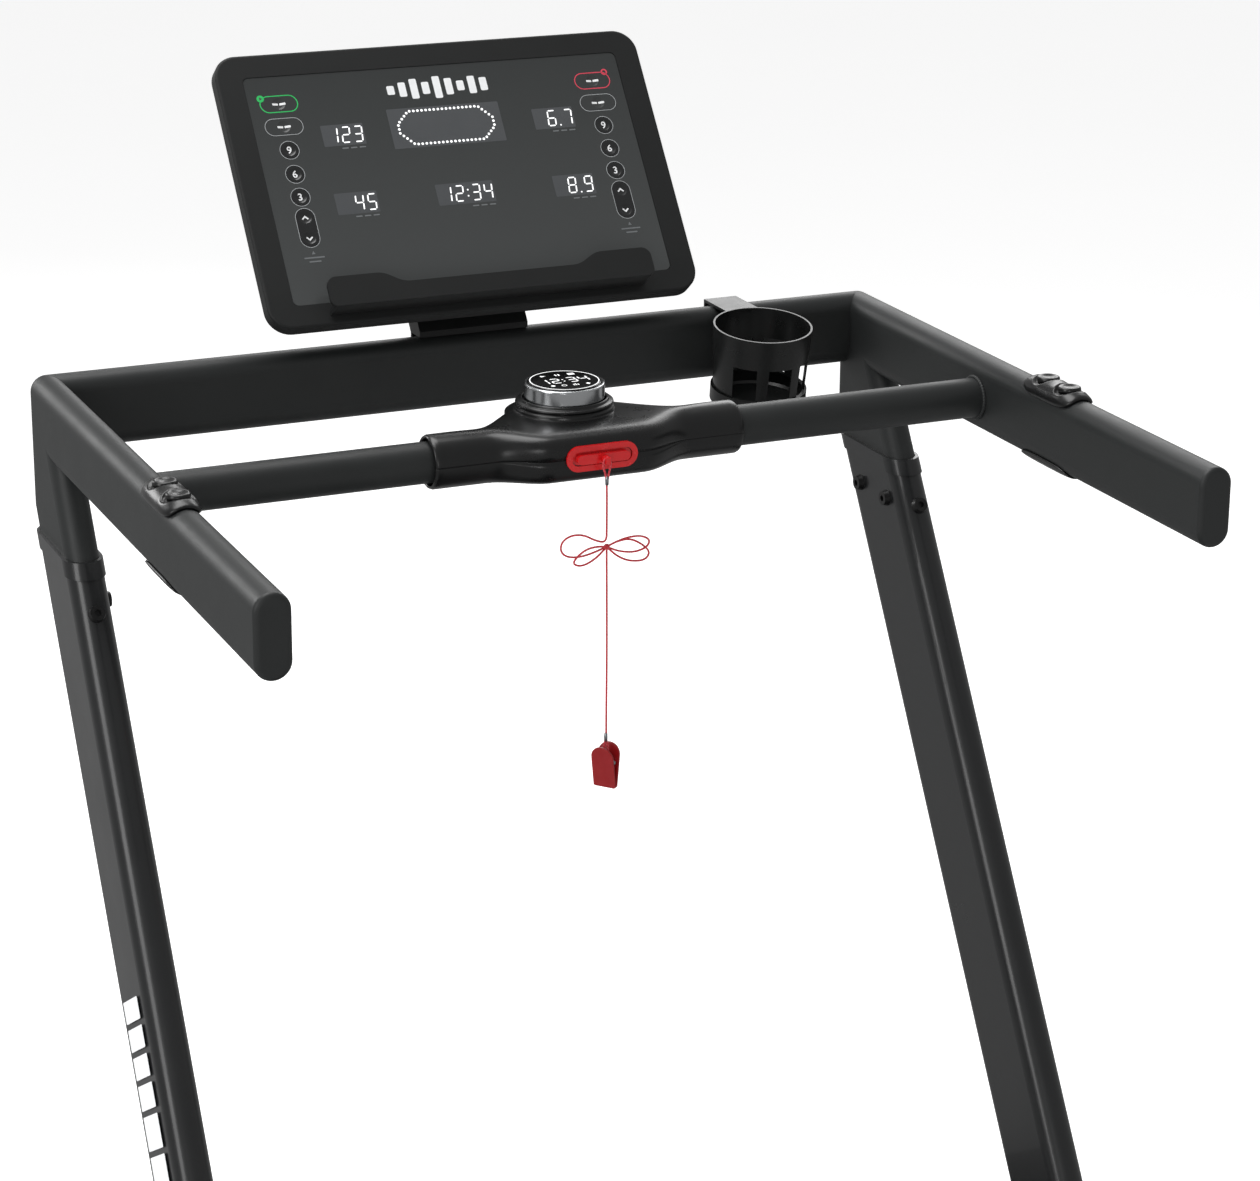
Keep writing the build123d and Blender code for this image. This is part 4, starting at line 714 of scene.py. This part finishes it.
# The lap track: dots evenly spaced round a rectangle with cut corners.
def trackDots(look):
    outline = slotOutline(*look["middle"], look["wide"], look["high"], look["high"] * look["cut"], 2)
    ring = np.vstack([outline, outline[:1]])
    along = np.concatenate([[0], np.cumsum(np.linalg.norm(np.diff(ring, axis=0), axis=1))])
    at = np.linspace(0, along[-1], look["dots"], endpoint=False)
    x, y = (np.interp(at, along, ring[:, axis]) for axis in (0, 1))
    return [discOutline(*spot, look["radius"], 12) for spot in zip(x, y)]


printed("lapTrack", trackDots(trackLook), windowLook["film"], windowLook["film"] + ink, "litDigits", "base",
        "glass_panel", onPanel)

# Plain upright bars, like a level meter, then dashes where small lettering would be.
emblemLook = dict(heights=(8, 13, 18, 11, 20, 15, 9, 16, 12), middle=201, pitch=10.2, wide=6.4, corner=1.2)
firstBar = -emblemLook["pitch"] * (len(emblemLook["heights"]) - 1) / 2
emblem = [slotOutline(emblemLook["pitch"] * i + firstBar, emblemLook["middle"], emblemLook["wide"], high,
                      emblemLook["corner"], 4) for i, high in enumerate(emblemLook["heights"])]
dashLook = dict(inset=4, pitch=7.4, drop=2.4, wide=5.4, high=1.1, corner=0.4)
labels = []
for text, x, y, wide in windows:
    for k in range(3):
        labels.append(slotOutline(x + wide / 2 - dashLook["inset"] - dashLook["pitch"] * k,
                                  y - windowLook["high"] / 2 - dashLook["drop"],
                                  dashLook["wide"], dashLook["high"], dashLook["corner"], 3))
for x in (-138, 138):  # under each column of keys, an arrowhead and two dashes
    labels.append(np.array([(x - 1.5, 62.4), (x + 1.5, 62.4), (x, 65.2)]))
    labels += [slotOutline(x, 59.4 - 3.4 * row, 17 - 7 * row, 1.2, 0.4, 3) for row in range(2)]
printed("consoleEmblem", emblem, 0, ink, "whiteInk", "base", "glass_panel", onPanel)
printed("consoleLabels", labels, 0, ink, "dimInk", "base", "glass_panel", onPanel)


# A line printed round a key: the key's outline, and the same outline drawn smaller by the pen as its hole.
def ringAround(node, wide, high, corner, pen, finish, extra=(), extraHoles=()):
    x, y = keyMiddle(node)
    outlines = [slotOutline(x, y, wide, high, corner, 12), *extra]
    holes = [slotOutline(x, y, wide - 2 * pen, high - 2 * pen, corner - pen, 12), *extraHoles]
    printed(node + "Outline", outlines, 0, ink, finish, "base", "glass_panel", onPanel, holes)


signRise = 0.02  # a sign stands this far off its key's dish
pillKeys = {"key_start": ("greenInk", 0.85), "key_program": ("greyInk", 0.45), "key_stop": ("pinkInk", 0.85),
            "key_mode": ("greyInk", 0.45)}
pillLook = dict(wide=32.4, high=15.4, corner=7.68, barsAt=(-3.1, 3.1), bar=(5.0, 1.9, 0.5))
for node, (inkName, pen) in pillKeys.items():
    x, y = keyMiddle(node)
    extra, holes = (), ()
    if node == "key_stop":  # a small ring on its upper corner
        extra, holes = ((discOutline(x + 12.5, y + 7.2, r, 24),) for r in (2.9, 1.6))
    ringAround(node, pillLook["wide"], pillLook["high"], pillLook["corner"], pen, inkName, extra, holes)
    bars = [slotOutline(x + aside, y, *pillLook["bar"], 4) for aside in pillLook["barsAt"]]
    printed(node + "Sign", bars, signRise, signRise + ink, "whiteInk", node, "glass_panel", inDish((x, y)))
# The start key has a green disc on its upper corner, with an arrow in it.
startX, startY = keyMiddle("key_start")
printed("startDisc", [discOutline(startX - 14.6, startY + 5.6, 3.1, 28)], ink, 2 * ink, "greenInk", "base",
        "glass_panel", onPanel)
playSign = np.array([(-15.5, 4.1), (-12.9, 5.6), (-15.5, 7.1)]) + np.array((startX, startY))
printed("startArrow", [playSign], 2 * ink, 3 * ink, "smokedWindow", "base", "glass_panel", onPanel)


numberLook = dict(size=8.6, halfThick=0.04, bolder=0.12, rise=0.1)


def numberShape(text, x, y):  # a figure from the built-in typeface, thin and centred on (x, y)
    curve = bpy.data.curves.new("figure", "FONT")
    curve.body, curve.size, curve.extrude = text, numberLook["size"], numberLook["halfThick"]
    curve.align_x, curve.align_y = "CENTER", "CENTER"
    curve.offset = numberLook["bolder"]
    source = bpy.data.objects.new("figure", curve)
    mesh = bpy.data.meshes.new_from_object(source)
    points = np.empty(len(mesh.vertices) * 3)
    mesh.vertices.foreach_get("co", points)
    faces = [list(face.vertices) for face in mesh.polygons]
    bpy.data.objects.remove(source)
    bpy.data.meshes.remove(mesh)
    return points.reshape(-1, 3) + np.array((x, y, numberLook["rise"])), faces


roundLook = dict(wide=16.4, high=16.4, corner=8.19, pen=0.42)
rockerLook = dict(wide=16.8, high=34.8, corner=8.39, pen=0.42)
chevronLook = dict(rise=9, wide=2.5, foot=1.1, tip=1.3, pen=1.2)
for side in ("incline", "speed"):
    for number in "963":
        node = f"key_{side}_{number}"
        x, y = keyMiddle(node)
        ringAround(node, **roundLook, finish="greyInk")
        points, faces = numberShape(number, x, y)
        makePiece(node + "Sign", inDish((x, y))(points), faces, "whiteInk", node, "glass_panel")
    node = f"key_{side}_rocker"
    x, y = keyMiddle(node)
    ringAround(node, **rockerLook, finish="greyInk")
    for word, way in (("Up", 1), ("Down", -1)):
        middle = y + chevronLook["rise"] * way
        foot, tip = middle - chevronLook["foot"] * way, middle + chevronLook["tip"] * way
        chevron = strokeOutline([(x - chevronLook["wide"], foot), (x, tip), (x + chevronLook["wide"], foot)],
                                chevronLook["pen"])
        printed(node + word, [chevron], signRise, signRise + ink, "whiteInk", node, "glass_panel",
                inDish((x, middle)))
print("console print made")


handleX, handleMiddle, handleHalf = 356.75, 1040.0, 17.25  # the tube's round edges are centred 17.25 mm off
# A saddle's size, its lip and well about each button as offset, radius and softness, and where its buttons are.
padLook = dict(tube=13.35, arc=17.0, half=36.0, bend=14.8, sink=0.15, lip=(0.25, 11.2, 2.0),
               well=(2.0, 10.4, 1.6), shifts=(-17.0, 15.0), buttonZ=1075.2,
               upper=dict(rim=1.9, dome=4.6, depth=1.0), lower=dict(rim=1.6, dome=1.0, depth=0.0))
padLow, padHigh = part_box("control_pads")
padY = (padLow.y + padHigh.y) / 2 / mm


# A saddle wrapped on the handle's round edge: rings of a superellipse shrink towards its middle, and each
# point stands off the tube by the rim, a dome that levels out, and two round wells for the buttons.
def padSaddle(side, up, rim, dome, depth):
    steps, underRings = 96, 12
    t = np.concatenate([np.linspace(0.05, 1, underRings), 1 - np.linspace(0, 0.95, 26) ** 1.5])[:, None]
    t = np.clip(t, 0.05, 1)
    under = np.arange(len(t))[:, None] < underRings
    angle = np.linspace(0, 2 * pi, steps, endpoint=False)
    c, s = np.cos(angle), np.sin(angle)
    across = padLook["arc"] * t * np.sign(c) * np.abs(c) ** 0.5
    along = padLook["half"] * t * np.sign(s) * np.abs(s) ** 0.5
    off = rim + dome * np.clip(1 - t ** 3.2, 0, 1) ** 0.6
    (lip, lipAt, lipSoft), (well, wellAt, wellSoft) = padLook["lip"], padLook["well"]
    for shift in padLook["shifts"]:
        away = np.hypot(across, along - shift)
        off = off + depth * (lip * np.exp(-((away - lipAt) / lipSoft) ** 2)
                             - well * eased((wellAt - away) / wellSoft))
    reach = padLook["tube"] + np.where(under, padLook["sink"], off)
    turn = across / padLook["bend"]
    points = np.stack([handleX * side + reach * np.sin(turn), padY + along,
                       handleMiddle + up * (handleHalf + reach * np.cos(turn))], -1).reshape(-1, 3) * mm
    lids = [list(range(steps)), list(range(len(points) - steps, len(points)))]
    return points, gridFaces(len(t), steps) + lids


saddles = [padSaddle(side, up, **padLook[part]) for side in (-1, 1)
           for up, part in ((1, "upper"), (-1, "lower"))]
saddlePiece = makePiece("padSaddles", *gathered(saddles), "satinAbs", "base", "gloss_black", smooth=True)
recalculate(saddlePiece)
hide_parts("control_pads")
# A button: a soft round lip about a shallow dish, as radius and height over its saddle's well.
buttonProfile = ((0.01, 1.2), (1.5, 1.25), (3.0, 1.4), (4.4, 1.75), (5.6, 2.2), (6.6, 2.55), (7.4, 2.6),
                 (8.1, 2.4), (8.7, 1.9), (9.0, 1.1), (9.1, 0.2), (9.1, -1.4), (0.01, -1.4))
for side, sideName in ((-1, "left"), (1, "right")):
    for shift, padName in zip(padLook["shifts"], ("near", "far")):
        node = f"pad_{sideName}_{padName}"
        centre = np.array((handleX * side, padY + shift, padLook["buttonZ"])) * mm
        shape = turned(np.array(buttonProfile) * mm, centre, steps=48, closed=False)
        button = makePiece(node + "Button", *shape, "satinAbs", node, "gloss_black", smooth=True)
        recalculate(button)
        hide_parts(node)
print("thumb pads made")


weldLook = dict(aside=342.9, ring=16.3, bead=1.9, ripple=0.22, ripples=46)


# A weld bead: a thin torus round the crossbar whose tube swells with each ripple of the weld.
def weldBead(x):
    around = np.linspace(0, 2 * pi, 180, endpoint=False)[:, None]
    tube = np.linspace(0, 2 * pi, 12, endpoint=False)
    swell = weldLook["bead"] + weldLook["ripple"] * np.sin(weldLook["ripples"] * around)
    ring = weldLook["ring"] + swell * np.cos(tube)
    points = np.stack([x + swell * np.sin(tube), ring * np.cos(around), ring * np.sin(around)], -1)
    return points.reshape(-1, 3) * mm + np.array((0, crossbarY, crossbarZ)), gridFaces(180, 12, closeRows=True)


beads = gathered([weldBead(side * weldLook["aside"]) for side in (-1, 1)])
weldPiece = makePiece("weldBeads", *beads, "texturedPowderCoat", "base", "frame_black", smooth=True)
recalculate(weldPiece)

# Plain white blocks up the outer face of the left upright, in line with it.
markLook = dict(lean=31.15, foot=(0.4048, 0.503), aside=0.5, wide=46.0, corner=1.0, top=160.0, gap=4.6,
                sizes=(17, 17, 17, 19, 26, 26, 17, 17, 17, 19, 26, 26))
leanAngle = radians(markLook["lean"])
uprightFoot = np.array((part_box("upright_left")[0].x, *markLook["foot"]))


def onUpright(points):  # (towards the walker, up the tube, out of its face) in millimetres
    up = np.array((0, sin(leanAngle), cos(leanAngle)))
    across = np.array((0, -cos(leanAngle), sin(leanAngle)))
    return points * mm @ np.array((across, up, (-1, 0, 0))) + uprightFoot


marks, markTop = [], markLook["top"]
for size in markLook["sizes"]:
    marks.append(slotOutline(markLook["aside"], markTop - size / 2, markLook["wide"], size,
                             markLook["corner"], 3))
    markTop -= size + markLook["gap"]
printed("uprightMarks", marks, 0, ink, "whiteInk", "base", "upright_black", onUpright)
print("weld beads and upright marks made")


nodeFinish = {
    "texturedPowderCoat": ("handrail_frame", "handrail_end_caps"),
    "blackEnamel": ("upright_left", "upright_right"),
    "floorFramePaint": ("base_frame", "lift_frame", "deck_frame"),
    "grainedAbs": ("console_front_shell", "console_rear_shell", "tablet_shelf", "motor_hood", "rear_end_caps"),
    "overlayPrintAndPaintedLight": ("console_panel",),
    "blackOxideSteel": ("frame_bolts",),
    "bracketPaint": ("console_bracket",),
    "turnedAluminium": ("knob_ring",),
    "pianoBlackAbs": ("knob_display", "power_switch"),
    "redGloss": ("key_socket", "safety_key"),
    "dippedSteel": ("cup_holder",),
    "mouldedRubber": ("base_feet", "deck_feet", "drive_belt"),
    "embossedBelt": ("running_belt",),
    "satinAbs": ("side_rails",),
    "phenolicBoard": ("deck_board",),
    "castMotorPaint": ("drive_motor", "actuator_body"),
    "extrudedAluminium": ("motor_controller",),
    "zincPlate": ("front_roller", "rear_roller", "motor_shaft", "pivot_shaft", "actuator_screw"),
    "blackNylon": ("transport_wheel_left", "transport_wheel_right"),
}
nodeFinish["overlayPrintAndPaintedLight"] += tuple(pillKeys)
# the round and rocker keys get a darker colour, painted shade for the hollow of their dishes
nodeFinish["keyFilmAndPaintedShade"] = tuple(name for name in nodes if name.startswith("key_")
                              and name not in (*pillKeys, "key_cord", "key_socket"))
for finish, names in nodeFinish.items():
    for name in names:
        nodes[name].data.materials.clear()
        nodes[name].data.materials.append(made[finish])
print("finishes put on the nodes")
